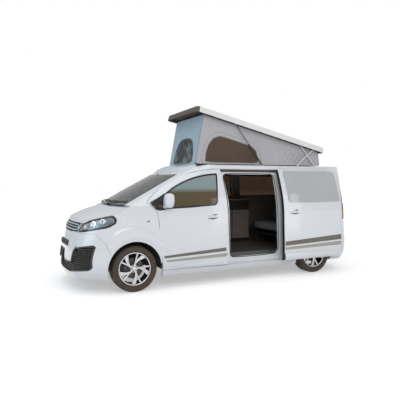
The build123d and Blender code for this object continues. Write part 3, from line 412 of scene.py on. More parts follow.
for material, names in NODE_FINISH.items():
    for node in names:
        cad[node].data.materials.clear()
        cad[node].data.materials.append(material)


# ---- Mesh building -----------------------------------------------------------------
def piece(name, points, faces, material, body, smooth=40.0, replaces=()):
    """Mesh in the row frame that rides on a body; smooth is the sharpest angle shaded round."""
    mesh = bpy.data.meshes.new(name)
    mesh.from_pydata([tuple(p) for p in points], [], faces)
    mesh.update()
    mesh.shade_smooth()
    mesh.set_sharp_from_angle(angle=math.radians(smooth))
    mesh.materials.append(material)
    made = add_object(name, mesh)
    if replaces:
        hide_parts(*replaces)
    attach(made, body)
    return made


def grid_faces(columns, rows, closed=False):
    """Quads of a grid of points stored row by row; closed joins the last column to the first."""
    across = columns if closed else columns - 1
    return [(r * columns + c, r * columns + (c + 1) % columns, (r + 1) * columns + (c + 1) % columns,
             (r + 1) * columns + c) for r in range(rows - 1) for c in range(across)]


def tube(name, path, radius, material, body, sides=10, closed=False):
    """Round bar along a path, with its ends shut unless it is closed on itself."""
    path = [Vector(p) for p in path]
    count = len(path)
    points, side = [], None
    for i, p in enumerate(path):
        after = path[(i + 1) % count] if closed else path[min(i + 1, count - 1)]
        before = path[i - 1] if closed or i else p
        ahead = (after - before).normalized()
        side = ahead.orthogonal() if side is None else side - ahead * side.dot(ahead)
        side = side.normalized()
        up = ahead.cross(side)
        for k in range(sides):
            angle = 2 * math.pi * k / sides
            points.append(p + radius * (side * math.cos(angle) + up * math.sin(angle)))
    faces = grid_faces(sides, count, closed=True)
    if closed:
        last = (count - 1) * sides
        faces += [(last + k, last + (k + 1) % sides, (k + 1) % sides, k) for k in range(sides)]
    else:
        faces += [tuple(range(sides))[::-1], tuple(range((count - 1) * sides, count * sides))]
    return piece(name, points, faces, material, body)


def turned(name, centre, axis, profile, material, body, steps=48, smooth=35.0):
    """Surface of revolution: profile is (distance along the axis, radius)."""
    axis = Vector(axis).normalized()
    side = axis.orthogonal().normalized()
    up = axis.cross(side)
    points = []
    for along, radius in profile:
        for k in range(steps):
            turn = 2 * math.pi * k / steps
            points.append(Vector(centre) + axis * along
                          + radius * (side * math.cos(turn) + up * math.sin(turn)))
    return piece(name, points, grid_faces(steps, len(profile), closed=True), material, body, smooth)


def block(name, x, y, z, material, body, round_off):
    """Rounded block from (low, high) pairs."""
    corners = [(a, b, c) for a in x for b in y for c in z]
    faces = [(0, 1, 3, 2), (4, 6, 7, 5), (0, 4, 5, 1), (2, 3, 7, 6), (0, 2, 6, 4), (1, 5, 7, 3)]
    made = piece(name, corners, faces, material, body)
    bevel = made.modifiers.new("round", "BEVEL")
    bevel.width, bevel.segments = round_off, 3
    return made


def softened(points, times=3, share=0.25):
    """Closed outline with its corners cut round."""
    points = [Vector(p) for p in points]
    for _ in range(times):
        new = []
        for i, p in enumerate(points):
            new += [p.lerp(points[i - 1], share), p.lerp(points[(i + 1) % len(points)], share)]
        points = new
    return points


def filled(outline, step):
    """Points and triangles that fill a closed flat outline, with inner points on a square grid."""
    low = [min(p[i] for p in outline) for i in (0, 1)]
    high = [max(p[i] for p in outline) for i in (0, 1)]
    ring = [Vector(p) for p in outline]
    inner = []
    for i in range(int((high[0] - low[0]) / step) + 1):
        for j in range(int((high[1] - low[1]) / step) + 1):
            p = Vector((low[0] + (i + 0.5) * step, low[1] + (j + 0.5) * step))
            if min((p - q).length for q in ring) > step * 0.5:
                inner.append(p)
    count = len(ring)
    edges = [(i, (i + 1) % count) for i in range(count)]
    points, _, faces, *_ = geometry.delaunay_2d_cdt(ring + inner, edges, [], 1, 1e-6)
    return points, faces


def resampled(outline, count):
    """The same number of evenly spaced points round a closed outline."""
    lengths = [(outline[(i + 1) % len(outline)] - p).length for i, p in enumerate(outline)]
    total, made, i, gone = sum(lengths), [], 0, 0.0
    for k in range(count):
        target = total * k / count
        while gone + lengths[i] < target:
            gone += lengths[i]
            i += 1
        a, b = outline[i], outline[(i + 1) % len(outline)]
        made.append(a + (b - a) * ((target - gone) / max(lengths[i], 1e-9)))
    return made


def inset(outline, amount):
    """Closed outline moved inward along its own normals."""
    centre = sum(outline, Vector((0, 0))) / len(outline)
    made = []
    for i, p in enumerate(outline):
        along = outline[(i + 1) % len(outline)] - outline[i - 1]
        normal = Vector((-along.y, along.x)).normalized()
        if normal.dot(centre - p) < 0:
            normal = -normal
        made.append(p + normal * amount)
    return made


def tree_of(node):
    mesh = cad[node].data
    return BVHTree.FromPolygons([v.co for v in mesh.vertices], [p.vertices for p in mesh.polygons])


class Sight:
    """Flat map of CAD nodes seen along a level ray: u runs across it and v up."""

    def __init__(self, ray, *nodes):
        self.ray = Vector(ray).normalized()
        self.across = Vector((self.ray.y, -self.ray.x, 0))
        self.nodes = nodes
        self.trees = [tree_of(n) for n in nodes]

    def lay(self, u, v, lift=0.0, strict=False):
        """Point on the nearest face met, moved out by lift; off the edge, the closest point."""
        start = self.across * u + Vector((0, 0, v)) - self.ray * 5.0
        hits = [hit for tree in self.trees for hit in [tree.ray_cast(start, self.ray)] if hit[0]]
        if hits:
            place, normal = min(hits, key=lambda hit: hit[3])[:2]
        elif strict:
            return None
        else:
            # Closest point of the mesh, measured across the ray
            guess = self.across * u + Vector((0, 0, v))
            vertices = [w.co for n in self.nodes for w in cad[n].data.vertices]
            flat = min(vertices, key=lambda w: (self.flat(w) - Vector((u, v))).length
                       + 0.02 * (w - guess).dot(self.ray))
            return self.across * u + Vector((0, 0, v)) + self.ray * (flat.dot(self.ray) - lift)
        if normal.dot(self.ray) > 0:
            normal = -normal
        return place + normal * lift

    def flat(self, p):
        return Vector((p.dot(self.across), p.z))

    def hull(self, shrink=0.001):
        """Outline of the nodes as the ray sees them."""
        flat = [self.flat(v.co) for n in self.nodes for v in cad[n].data.vertices]
        return inset([flat[i] for i in geometry.convex_hull_2d(flat)], shrink)


def ring_on(name, sight, outline, width, material, body, lift=0.001, count=200):
    """Flat band inside an outline, laid on what the sight sees."""
    outer = resampled(outline, count)
    lines = [inset(outer, width * share) for share in (0.0, 0.33, 0.67, 1.0)]
    points = [sight.lay(p.x, p.y, lift) for line in lines for p in line]
    return piece(name, points, grid_faces(count, len(lines), closed=True), material, body)


def plate(name, sight, outline, count, step, lift, material):
    """Filled outline laid on what the sight sees, fixed to the body."""
    points, faces = filled(resampled(outline, count), step)
    return piece(name, [sight.lay(p.x, p.y, lift) for p in points], faces, material, "body")


def coat(name, node, keep, material, body, lift=0.0012):
    """Thin lining over the faces of a CAD node that keep(centre, normal) picks."""
    mesh = cad[node].data
    chosen = [p for p in mesh.polygons if keep(p.center, p.normal)]
    points, faces, order, moves = [], [], {}, {}
    for p in chosen:
        for v in p.vertices:
            moves.setdefault(tuple(round(c, 5) for c in mesh.vertices[v].co), []).append(p.normal)
    for p in chosen:
        face = []
        for v in p.vertices:
            key = tuple(round(c, 5) for c in mesh.vertices[v].co)
            if key not in order:
                order[key] = len(points)
                out = sum(moves[key], Vector()).normalized()
                points.append(mesh.vertices[v].co + out * lift)
            face.append(order[key])
        if len(set(face)) == len(face):
            faces.append(tuple(face))
    return piece(name, points, faces, material, body, 30.0)


# ---- Side stripes ---------------------------------------------------------------------
STRIPE_LIFT = 0.0009
# Ends of each stripe (y, z): top front, top rear, bottom front, bottom rear
FRONT_STRIPES = {
    "dark": ((-1.166, 0.501), (-0.104, 0.566), (-1.160, 0.466), (-0.102, 0.509)),
    "light": ((-1.140, 0.436), (-0.104, 0.474), (-1.109, 0.406), (-0.101, 0.421)),
}
SLIDE_STRIPES = {
    "dark": ((0.938, 0.606), (2.154, 0.672), (0.938, 0.536), (2.155, 0.581)),
    "light": ((0.938, 0.509), (2.156, 0.553), (0.938, 0.469), (2.157, 0.486)),
}
REAR_STRIPES = {
    "dark": ((-0.088, 0.567), (2.330, 0.700), (-0.088, 0.510), (2.330, 0.612)),
    "light": ((-0.088, 0.475), (2.330, 0.583), (-0.088, 0.422), (2.330, 0.505)),
}
STRIPE_ROWS = 12


def stripe(name, node, ends, sign, material, body, columns):
    sight = Sight((-sign, 0, 0), node)
    top_a, top_b, low_a, low_b = [Vector(e) for e in ends]
    points = []
    for r in range(STRIPE_ROWS):
        for c in range(columns):
            u, v = c / (columns - 1), r / (STRIPE_ROWS - 1)
            p = top_a.lerp(top_b, u).lerp(low_a.lerp(low_b, u), v)
            points.append(sight.lay(sign * p.x, p.y, STRIPE_LIFT, strict=True))
    quads = [q for q in grid_faces(columns, STRIPE_ROWS) if all(points[i] is not None for i in q)]
    used = sorted({i for q in quads for i in q})
    order = {old: new for new, old in enumerate(used)}
    piece(name, [points[i] for i in used], [tuple(order[i] for i in q) for q in quads], material, body)


def stripes():
    for tint, material in (("dark", STRIPE_DARK), ("light", STRIPE_LIGHT)):
        for side, sign in SIDES:
            stripe(f"stripe_{tint}_door_{side}", f"door_{side}", FRONT_STRIPES[tint], sign, material,
                   f"front_door_{side}", 60)
        stripe(f"stripe_{tint}_sliding_door", "sliding_door", SLIDE_STRIPES[tint], 1, material, "body", 70)
        stripe(f"stripe_{tint}_side_right", "side_right", REAR_STRIPES[tint], -1, material, "body", 140)


# ---- Wheels ---------------------------------------------------------------------------
TYRE_OUTER = 0.3378
BEAD = 0.2405
RIM_SCALE = (0.338 - BEAD) / (0.338 - 0.2235)
TREAD_STEPS = 288
BLOCK_STEPS = 4
GROOVES = (-0.052, -0.018, 0.018, 0.052)
GROOVE_HALF = 0.004
GROOVE_DEPTH = 0.007
BOLT_CIRCLE = 0.044
WHEELS = [(end, side, sign) for end in ("front", "rear") for side, sign in SIDES]


def tyre_stations():
    """Points of the tyre's section: x from its middle, radius, and how deep a cross groove cuts there."""
    side = [(0.0900, 0.2235, 0), (0.1000, 0.2300, 0), (0.1070, 0.2400, 0), (0.1060, 0.2440, 0),
            (0.1095, 0.2480, 0), (0.1108, 0.2520, 0), (0.1118, 0.2680, 0), (0.1122, 0.2760, 0),
            (0.1106, 0.2790, 0), (0.1116, 0.2830, 0), (0.1098, 0.2965, 0), (0.1112, 0.3000, 0),
            (0.1085, 0.3060, 0.0015),
            (0.1040, 0.3165, 0.004), (0.0980, 0.3255, 0.005), (0.0900, 0.3328, 0.006),
            (0.0780, 0.3362, 0.006)]
    side = [(x, BEAD + (r - 0.2235) * RIM_SCALE, cut) for x, r, cut in side]
    tread = []
    for g in GROOVES:
        tread += [(g - GROOVE_HALF - 0.001, 0.0, 0.004), (g - GROOVE_HALF, GROOVE_DEPTH, 0),
                  (g + GROOVE_HALF, GROOVE_DEPTH, 0), (g + GROOVE_HALF + 0.001, 0.0, 0.004)]
    tread = [(x, TYRE_OUTER - 0.0015 * (x / 0.07) ** 2 - drop, cut) for x, drop, cut in tread]
    return [(-x, r, cut) for x, r, cut in side] + tread + side[::-1]


def wheel_centre(end, side):
    low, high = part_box(f"tyre_{end}_{side}")
    return (Vector(low) + Vector(high)) / 2


def tyre(end, side, sign):
    centre = wheel_centre(end, side)
    stations = tyre_stations()
    points = []
    for x, radius, cut in stations:
        for k in range(TREAD_STEPS):
            turn = 2 * math.pi * k / TREAD_STEPS
            phase = (k + (2 if x > 0 else 0) + int(abs(x) * 60)) % BLOCK_STEPS
            r = radius - (cut if phase == 0 else 0.0)
            points.append(centre + Vector((sign * x, r * math.cos(turn), r * math.sin(turn))))
    piece(f"tyre_tread_{end}_{side}", points, grid_faces(TREAD_STEPS, len(stations), closed=True), TYRE,
          f"wheel_{end}_{side}", 25.0, replaces=[f"tyre_{end}_{side}"])


# Ring of the rim, barrel and flanges: x from the wheel's middle, radius
RIM_RING = [
    (0.070, 0.2200), (0.079, 0.2215), (0.086, 0.2260), (0.0890, 0.2330), (0.0905, 0.2390), (0.0890, 0.2425),
    (0.085, 0.2425), (0.083, 0.2360), (0.060, 0.2240), (-0.060, 0.2220), (-0.085, 0.2360), (-0.090, 0.2420),
    (-0.0925, 0.2380), (-0.088, 0.2300), (-0.070, 0.2180), (0.050, 0.2150), (0.070, 0.2200),
]
SPOKE_ROOT, SPOKE_END = 0.036, 0.231
# Turn of the first blade and of the slim spoke after it, and how far a blade sweeps round to its root
BLADE_TURN, SLIM_TURN, BLADE_SWEEP = 51.0, 78.0, 36.0


def spoke(turn, sweep, half_root, half_end):
    """Points of one spoke: bright face, bevelled edges and a narrower back, from hub to ring."""
    stations, points = 16, []
    for i in range(stations):
        t = i / (stations - 1)
        r = SPOKE_ROOT + (SPOKE_END - SPOKE_ROOT) * t
        angle = math.radians(turn + sweep * (1 - t) ** 1.5)
        out = Vector((math.cos(angle), math.sin(angle)))
        bend = math.radians(sweep * 1.5 * (1 - t) ** 0.5) * r / (SPOKE_END - SPOKE_ROOT)
        side = Vector((-out.y, out.x)) + out * bend
        side.normalize()
        half = half_root + (half_end - half_root) * t ** 1.6
        face = 0.050 + 0.030 * t ** 2.2
        for width, x in ((-1.0, face - 0.003), (-0.86, face), (0.86, face), (1.0, face - 0.003),
                         (0.7, face - 0.034), (-0.7, face - 0.034)):
            flat = out * r + side * half * width
            points.append(Vector((x, flat.x, flat.y)))
    faces = grid_faces(6, stations, closed=True)
    faces += [tuple(range(6))[::-1], tuple(range((stations - 1) * 6, stations * 6))]
    return points, faces


def rim(end, side, sign):
    """Rim with five swept blades and five slim spokes, and the brake disc behind them."""
    centre = wheel_centre(end, side)
    points, faces = [], []

    def add(more, more_faces):
        start = len(points)
        points.extend(centre + Vector((sign * p.x, sign * p.y, p.z)) for p in more)
        faces.extend(tuple(i + start for i in f) for f in more_faces)

    for k in range(5):
        add(*spoke(BLADE_TURN - 72 * k, BLADE_SWEEP, 0.013, 0.034))
        add(*spoke(SLIM_TURN - 72 * k, 0.0, 0.0085, 0.0145))
    steps = 144
    hub = [(-0.020, 0.058), (0.046, 0.058), (0.050, 0.054), (0.051, 0.036), (0.056, 0.0325), (0.058, 0.029),
           (0.0585, 0.0001)]
    for profile in (RIM_RING, hub):
        add([Vector((x, r * math.cos(2 * math.pi * i / steps), r * math.sin(2 * math.pi * i / steps)))
             for x, r in profile for i in range(steps)], grid_faces(steps, len(profile), closed=True))
    piece(f"rim_spokes_{end}_{side}", points, faces, ALLOY, f"wheel_{end}_{side}", 32.0,
          replaces=[f"rim_{end}_{side}"])
    turned(f"brake_disc_{end}_{side}", centre, (sign, 0, 0),
           [(-0.014, 0.06), (-0.014, 0.150), (0.008, 0.150), (0.008, 0.085), (0.02, 0.080), (0.02, 0.058)],
           CAST_IRON, f"wheel_{end}_{side}", 96)


def wheel_bolts(end, side, sign):
    centre = wheel_centre(end, side)
    for k in range(5):
        turn = 2 * math.pi * (k + 0.5) / 5
        place = centre + Vector((sign * 0.049, BOLT_CIRCLE * math.cos(turn), BOLT_CIRCLE * math.sin(turn)))
        turned(f"wheel_bolt_{end}_{side}_{k}", place, (sign, 0, 0),
               [(0, 0.0001), (0, 0.0105), (0.0085, 0.0095), (0.0095, 0.0085), (0.0095, 0.0001)], BOLT_STEEL,
               f"wheel_{end}_{side}", 6, 20.0)
    turned(f"valve_{end}_{side}", centre + Vector((sign * 0.066, 0.185, 0.0)), (sign, -0.5, 0),
           [(0, 0.0001), (0, 0.004), (0.03, 0.0035), (0.031, 0.0001)], RUBBER, f"wheel_{end}_{side}", 12)


# ---- Windows -----------------------------------------------------------------------
BORDER_LIFT = 0.0008


def window_borders():
    """Dark printed border round each pane, and the black corner ahead of each front window."""
    for side, sign in SIDES:
        sight = Sight((-sign, 0, 0), f"door_glass_{side}")
        ring_on(f"window_edge_door_{side}", sight, sight.hull(), 0.024, GLOSS_BLACK, f"front_door_{side}",
                BORDER_LIFT)
        sight = Sight((-sign, 0, 0), f"door_glass_{side}", f"door_{side}")
        corner = softened([(-1.386, 1.296), (-1.345, 1.248), (-1.282, 1.186), (-1.225, 1.172),
                           (-1.105, 1.186), (-1.118, 1.440), (-1.262, 1.352)], 2, 0.16)
        points, faces = filled([Vector((sign * p.x, p.y)) for p in resampled(corner, 60)], 0.02)
        placed = []
        for p in points:
            # The outermost of a few near hits, so that the plate spans the gap beside the pane
            near = [sight.lay(p.x + a, p.y + b, 4 * BORDER_LIFT)
                    for a, b in ((0, 0), (0.008, 0), (-0.008, 0), (0, 0.008), (0, -0.008))]
            x = max(abs(q.x) for q in near)
            placed.append(Vector((sign * x, near[0].y, near[0].z)))
        piece(f"mirror_corner_{side}", placed, faces, GLOSS_BLACK, f"front_door_{side}")
    sight = Sight((-1, 0, 0), "sliding_door_glass")
    ring_on("window_edge_sliding_door", sight, sight.hull(), 0.03, GLOSS_BLACK, "body", BORDER_LIFT)
    for name, sign, low, high in (("rear_left", 1, 1.1, 2.3), ("rear_right", -1, 1.1, 2.3),
                                  ("middle_right", -1, -0.2, 1.09)):
        sight = Sight((-sign, 0, 0), "side_windows")
        flat = [sight.flat(v.co) for v in cad["side_windows"].data.vertices
                if v.co.x * sign > 0 and low < v.co.y < high]
        outline = inset([flat[i] for i in geometry.convex_hull_2d(flat)], 0.001)
        ring_on(f"window_edge_{name}", sight, outline, 0.03, GLOSS_BLACK, "body", BORDER_LIFT)
    sight = Sight((0, -1, 0), "tailgate_glass")
    ring_on("window_edge_tailgate", sight, sight.hull(), 0.035, GLOSS_BLACK, "tailgate", BORDER_LIFT)
    sight = Sight((0, 1, 0), "windscreen")
    ring_on("window_edge_screen", sight, sight.hull(), 0.03, GLOSS_BLACK, "body", BORDER_LIFT)


def wiper(name, sight, pivot, tip, blade_a, blade_b, body):
    """Arm from its pivot to the middle of a blade that lies on the glass; places are flat (u, v)."""
    arm = [sight.lay(*Vector(pivot).lerp(Vector(tip), k / 8), 0.012 + 0.012 * math.sin(math.pi * k / 8))
           for k in range(9)]
    tube(f"{name}_arm", arm, 0.006, SATIN_BLACK, body)
    a, b = Vector(blade_a), Vector(blade_b)
    blade = [sight.lay(*a.lerp(b, k / 16), 0.009) for k in range(17)]
    tube(f"{name}_blade", blade, 0.0055, RUBBER, body, 8)
    turned(f"{name}_pivot", sight.lay(*pivot, 0.0), -sight.ray,
           [(0, 0.0001), (0, 0.017), (0.018, 0.015), (0.024, 0.010), (0.025, 0.0001)], SATIN_BLACK, body, 24)


def wipers():
    sight = Sight((0, 1, 0), "windscreen", "bonnet")
    wiper("wiper_left", sight, (0.08, 1.262), (0.36, 1.292), (0.05, 1.276), (0.62, 1.300), "body")
    wiper("wiper_right", sight, (-0.56, 1.262), (-0.24, 1.290), (-0.56, 1.282), (0.0, 1.296), "body")
    sight = Sight((0, -1, 0), "tailgate_glass", "tailgate")
    wiper("wiper_rear", sight, (0.0, 1.245), (-0.20, 1.330), (-0.02, 1.338), (-0.38, 1.322), "tailgate")


# ---- Lifting roof ----------------------------------------------------------------------
LIFT_POLE = Vector((0.0, 3.15458, 1.94650))
LIFT_ANGLE = math.radians(12.9)
LID_RIM = 1.888
CLOTH_LOW = 1.900
CLOTH_X = 0.545
CLOTH_FRONT, CLOTH_REAR = -0.466, 2.080


def lifted(x, y, z):
    """Where a point of the closed lid is when the lid is up."""
    c, s = math.cos(LIFT_ANGLE), math.sin(LIFT_ANGLE)
    dy, dz = y - LIFT_POLE.y, z - LIFT_POLE.z
    return Vector((x, LIFT_POLE.y + dy * c + dz * s, LIFT_POLE.z - dy * s + dz * c))


CLOTH_TOP_FRONT = lifted(0, -0.395, LID_RIM + 0.004)
CLOTH_TOP_REAR = lifted(0, 2.030, LID_RIM + 0.004)


class Wall:
    """One wall of the tent: four corners, which way is out, and how it creases."""

    def __init__(self, low_a, low_b, top_a, top_b, out, seed):
        self.low_a, self.low_b, self.top_a, self.top_b = [Vector(p) for p in (low_a, low_b, top_a, top_b)]
        self.out, self.seed = Vector(out), seed

    def at(self, u, v):
        return self.low_a.lerp(self.low_b, u).lerp(self.top_a.lerp(self.top_b, u), v)

    def crease(self, u, v):
        """Depth of the folds at a place on the wall."""
        p = self.at(u, v)
        edge = min(1.0, 12 * u, 12 * (1 - u)) * min(1.0, 8 * v, 5 * (1 - v))
        slack = noise.noise(Vector((p.x * 2.6 + p.y * 2.6, p.z * 4.0, self.seed)))
        pull = math.sin(26 * (p.y + p.x) + 34 * p.z + self.seed)
        patchy = max(0.0, noise.noise(Vector((p.x * 3 + p.y * 3, p.z * 3, self.seed + 7))) + 0.15)
        depth = -0.003 + 0.006 * slack + 0.0045 * pull * patchy
        if abs(self.out.x) > 0.5:
            far = math.hypot((p.y - 1.62) / 0.42, (p.z - 2.0) / 0.16)
            bunch = math.exp(-far * far)
            depth += bunch * (-0.012 + 0.009 * math.sin(60 * p.y - 48 * p.z)
                              + 0.007 * math.sin(34 * p.y + 70 * p.z))
            corner = math.exp(-((p.y + 0.36 - 0.45 * (p.z - 1.9)) / 0.05) ** 2)
            depth -= 0.006 * corner * (1 - v)
        return edge * depth

    def sheet(self, name, columns, rows, material):
        points = []
        for r in range(rows):
            for c in range(columns):
                u, v = c / (columns - 1), r / (rows - 1)
                points.append(self.at(u, v) + self.out * self.crease(u, v))
        return piece(name, points, grid_faces(columns, rows), material, "body", 80.0)

    def flat_place(self, along, z):
        """u and v of a point given by its run along the wall and its height."""
        u = v = 0.5
        pick = 1 if abs(self.out.x) > 0.5 else 0
        for _ in range(12):
            p = self.at(u, v)
            span_u = self.low_b[pick] - self.low_a[pick]
            top = self.at(u, 1.0).z - CLOTH_LOW
            u += (along - p[pick]) / span_u
            v += (z - p.z) / max(top, 0.05)
        return u, v

    def lay(self, along, z, lift):
        u, v = self.flat_place(along, z)
        return self.at(u, v) + self.out * (self.crease(u, v) + lift)

    def patch(self, name, outline, step, material, lift, wrinkle=0.0):
        points, faces = filled(resampled(outline, 120), step)
        placed = []
        for p in points:
            extra = wrinkle * (noise.noise(Vector((p.x * 9, p.y * 9, self.seed)))
                               + 0.6 * math.sin(30 * p.x + 22 * noise.noise(Vector((p.x * 5, p.y * 5, 3)))))
            placed.append(self.lay(p.x, p.y, lift + max(-lift * 0.4, extra)))
        return piece(name, placed, faces, material, "body", 80.0)

    def band(self, name, outline, width, material, lift):
        outer = resampled(outline, 160)
        lines = [inset(outer, width * s) for s in (0.0, 0.5, 1.0)]
        lifts = (lift * 0.3, lift, lift * 0.3)
        points = [self.lay(p.x, p.y, up) for line, up in zip(lines, lifts) for p in line]
        return piece(name, points, grid_faces(len(outer), 3, closed=True), material, "body", 80.0)

    def zip_line(self, name, outline, away):
        """Zip that runs round a window, a little way off, from foot to foot."""
        line = [p for p in inset(resampled(outline, 160), -away) if p.y > CLOTH_LOW + 0.012]
        return tube(name, [self.lay(p.x, p.y, 0.001) for p in line], 0.0024, CLOTH_BINDING, "body", 6)


SIDE_WINDOW = [(-0.300, 1.905), (-0.285, 2.06), (-0.232, 2.21), (-0.150, 2.315), (-0.030, 2.362),
               (0.10, 2.340), (0.30, 2.290), (0.50, 2.240), (0.62, 2.200), (0.700, 2.130),
               (0.735, 2.02), (0.740, 1.905)]
FRONT_WINDOW = [(-0.40, 1.905), (-0.395, 2.08), (-0.33, 2.24), (-0.20, 2.33), (0.0, 2.350), (0.20, 2.33),
                (0.33, 2.24), (0.395, 2.08), (0.40, 1.905)]
SIDE_WINDOW_LINE = softened(SIDE_WINDOW, 2, 0.12)
FRONT_WINDOW_LINE = softened(FRONT_WINDOW, 2, 0.12)


def tent():
    """Cloth walls with their windows."""
    front, rear = CLOTH_TOP_FRONT, CLOTH_TOP_REAR
    walls = {}
    for side, x in (("left", CLOTH_X), ("right", -CLOTH_X)):
        walls[side] = Wall((x, CLOTH_FRONT, CLOTH_LOW), (x, CLOTH_REAR, CLOTH_LOW), (x, front.y, front.z),
                           (x, rear.y, rear.z), (math.copysign(1, x), 0, 0), 2.0 + x)
    walls["front"] = Wall((-CLOTH_X, CLOTH_FRONT, CLOTH_LOW), (CLOTH_X, CLOTH_FRONT, CLOTH_LOW),
                          (-CLOTH_X, front.y, front.z), (CLOTH_X, front.y, front.z), (0, -1, 0), 5.0)
    walls["rear"] = Wall((-CLOTH_X, CLOTH_REAR, CLOTH_LOW), (CLOTH_X, CLOTH_REAR, CLOTH_LOW),
                         (-CLOTH_X, rear.y, rear.z), (CLOTH_X, rear.y, rear.z), (0, 1, 0), 9.0)
    made = []
    for side in ("left", "right"):
        wall = walls[side]
        cloth = wall.sheet(f"tent_wall_{side}", 200, 64, CLOTH_WARM)
        parts = [wall.patch(f"tent_net_{side}", inset(SIDE_WINDOW_LINE, 0.006), 0.03, INSECT_NET, 0.002,
                            0.0012),
                 wall.band(f"tent_net_binding_{side}", SIDE_WINDOW_LINE, 0.016, CLOTH_BINDING, 0.0042),
                 wall.zip_line(f"tent_zip_{side}", SIDE_WINDOW_LINE, 0.055)]
        made += [cloth, *parts]
    wall = walls["front"]
    cloth = wall.sheet("tent_wall_front", 96, 64, CLOTH_PAINTED_SKY_SHADE)
    parts = [wall.patch("tent_clear_window", inset(FRONT_WINDOW_LINE, 0.006), 0.016, CLEAR_VINYL, 0.003,
                        0.004),
             wall.band("tent_clear_binding", FRONT_WINDOW_LINE, 0.018, BINDING_PAINTED_SKY_SHADE, 0.0065)]
    made += [cloth, *parts]
    cloth = walls["rear"].sheet("tent_wall_rear", 96, 24, CLOTH_WARM)
    made.append(cloth)
    for k, (low, high) in enumerate((((CLOTH_X, CLOTH_FRONT), front), ((-CLOTH_X, CLOTH_FRONT), front),
                                     ((CLOTH_X, CLOTH_REAR), rear), ((-CLOTH_X, CLOTH_REAR), rear))):
        foot, head = Vector((*low, CLOTH_LOW)), Vector((low[0], high.y, high.z))
        seam = tube(f"tent_corner_seam_{k}", [foot.lerp(head, i / 12) for i in range(13)], 0.0042,
                    BINDING_PAINTED_SKY_SHADE, "body", 8)
        made.append(seam)
    for part in made:
        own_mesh(part)
    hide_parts("canvas")
    base = softened([(CLOTH_X, CLOTH_FRONT), (CLOTH_X, CLOTH_REAR), (-CLOTH_X, CLOTH_REAR),
                     (-CLOTH_X, CLOTH_FRONT)], 3, 0.02)
    tube("tent_foot_rail", [(p.x * 1.001, p.y, CLOTH_LOW - 0.002) for p in resampled(base, 240)], 0.0045,
         ALUMINIUM, "body", 8, closed=True)


def lid_trim():
    """Lining under the lid, and painted shade over the lid's front face."""
    c, s = math.cos(LIFT_ANGLE), math.sin(LIFT_ANGLE)

    def closed(centre, normal):
        """A face of the raised lid as it lies when closed: y, height over the rim, normal's y and z."""
        dy, dz = centre.y - LIFT_POLE.y, centre.z - LIFT_POLE.z
        return (LIFT_POLE.y + dy * c - dz * s, LIFT_POLE.z + dy * s + dz * c - LID_RIM,
                normal.y * c - normal.z * s, normal.z * c + normal.y * s)

    def under(centre, normal):
        _, height, along, up = closed(centre, normal)
        inward = -normal.x * centre.x > 0 and abs(centre.x) < 0.64
        ends = abs(along) > 0.6 and abs(centre.x) < 0.63 and height < 0.076
        return height < 0.077 and (up < -0.6 and height > 0.004
                                   or inward and abs(normal.x) > 0.4 and height > 0.001
                                   or ends and height > 0.017)

    def ahead(centre, normal):
        y, height, along, up = closed(centre, normal)
        return y < -0.44 and height < 0.090 and (along < -0.35 or up < -0.35)

    coat("lid_lining", "pop_top_shell", under, LID_LINING, "pop_top", 0.0008)
    # Painted shade: the raised lid's front faces, which face down and forward, get the dark lining colour.
    coat("lid_front_painted_shade", "pop_top_shell", ahead, LID_LINING, "pop_top", 0.0011)


# ---- Lamps, nose and tail --------------------------------------------------------------
MIRROR_X, MIRROR_Z = 1.012, 1.318
MIRROR_FACE_Y = -1.0565
GRILLE_BELOW, GRILLE_ABOVE = 0.882, 0.983   # heights of the solid bands beside the slots
INSERT_LINE = [
    (0, 0.300), (0.420, 0.290), (0.790, 0.344), (0.833, 0.362), (0.856, 0.395), (0.866, 0.440),
    (0.874, 0.660), (0.868, 0.690), (0.852, 0.704), (0.826, 0.706), (0.640, 0.668), (0.585, 0.650),
    (0.548, 0.620), (0.520, 0.570), (0.486, 0.456), (0.228, 0.450), (0.190, 0.604), (0, 0.612),
]
INSERT_BLADES = [(0.575, 0.325, 0.640), (0.655, 0.335, 0.668), (0.735, 0.345, 0.686), (0.800, 0.360, 0.690)]
# Bowls of each headlamp: x, y of the rim, z, radius
LAMP_BOWLS = [(0.640, -2.262, 0.950, 0.042), (0.745, -2.196, 0.992, 0.044), (0.836, -2.088, 1.032, 0.038)]


def headlamp(side, sign):
    lens = Sight((0, 1, 0), "headlamps")
    for k, (x, y, z, radius) in enumerate(LAMP_BOWLS):
        points = []
        rings, steps = 14, 48
        for r in range(rings):
            share = r / (rings - 1)
            for s in range(steps):
                turn = 2 * math.pi * s / steps
                u = sign * x + radius * share * math.cos(turn)
                v = z + radius * share * math.sin(turn)
                deep = y + 0.062 - 0.05 * share * share
                cover = lens.lay(u, v, 0.0, strict=True)
                points.append(Vector((u, max(deep, cover.y + 0.008) if cover else deep, v)))
        piece(f"headlamp_bowl_{side}_{k}", points, grid_faces(steps, rings, closed=True), CHROME, "body",
              60.0)
        turned(f"headlamp_bulb_{side}_{k}", (sign * x, y + 0.060, z), (0, -1, 0),
               [(0, 0.0001), (0, 0.018), (0.008, 0.0175), (0.018, 0.013), (0.023, 0.007), (0.024, 0.0001)],
               LENS, "body", 32, 60.0)
    sight = Sight((-0.62 * sign, 0.78, 0), "headlamps")
    flat = [sight.flat(v.co) for v in cad["headlamps"].data.vertices if v.co.x * sign > 0]
    outline = inset([flat[i] for i in geometry.convex_hull_2d(flat)], 0.002)
    ring_on(f"headlamp_edge_{side}", sight, outline, 0.019, GLOSS_BLACK, "body", 0.0012)


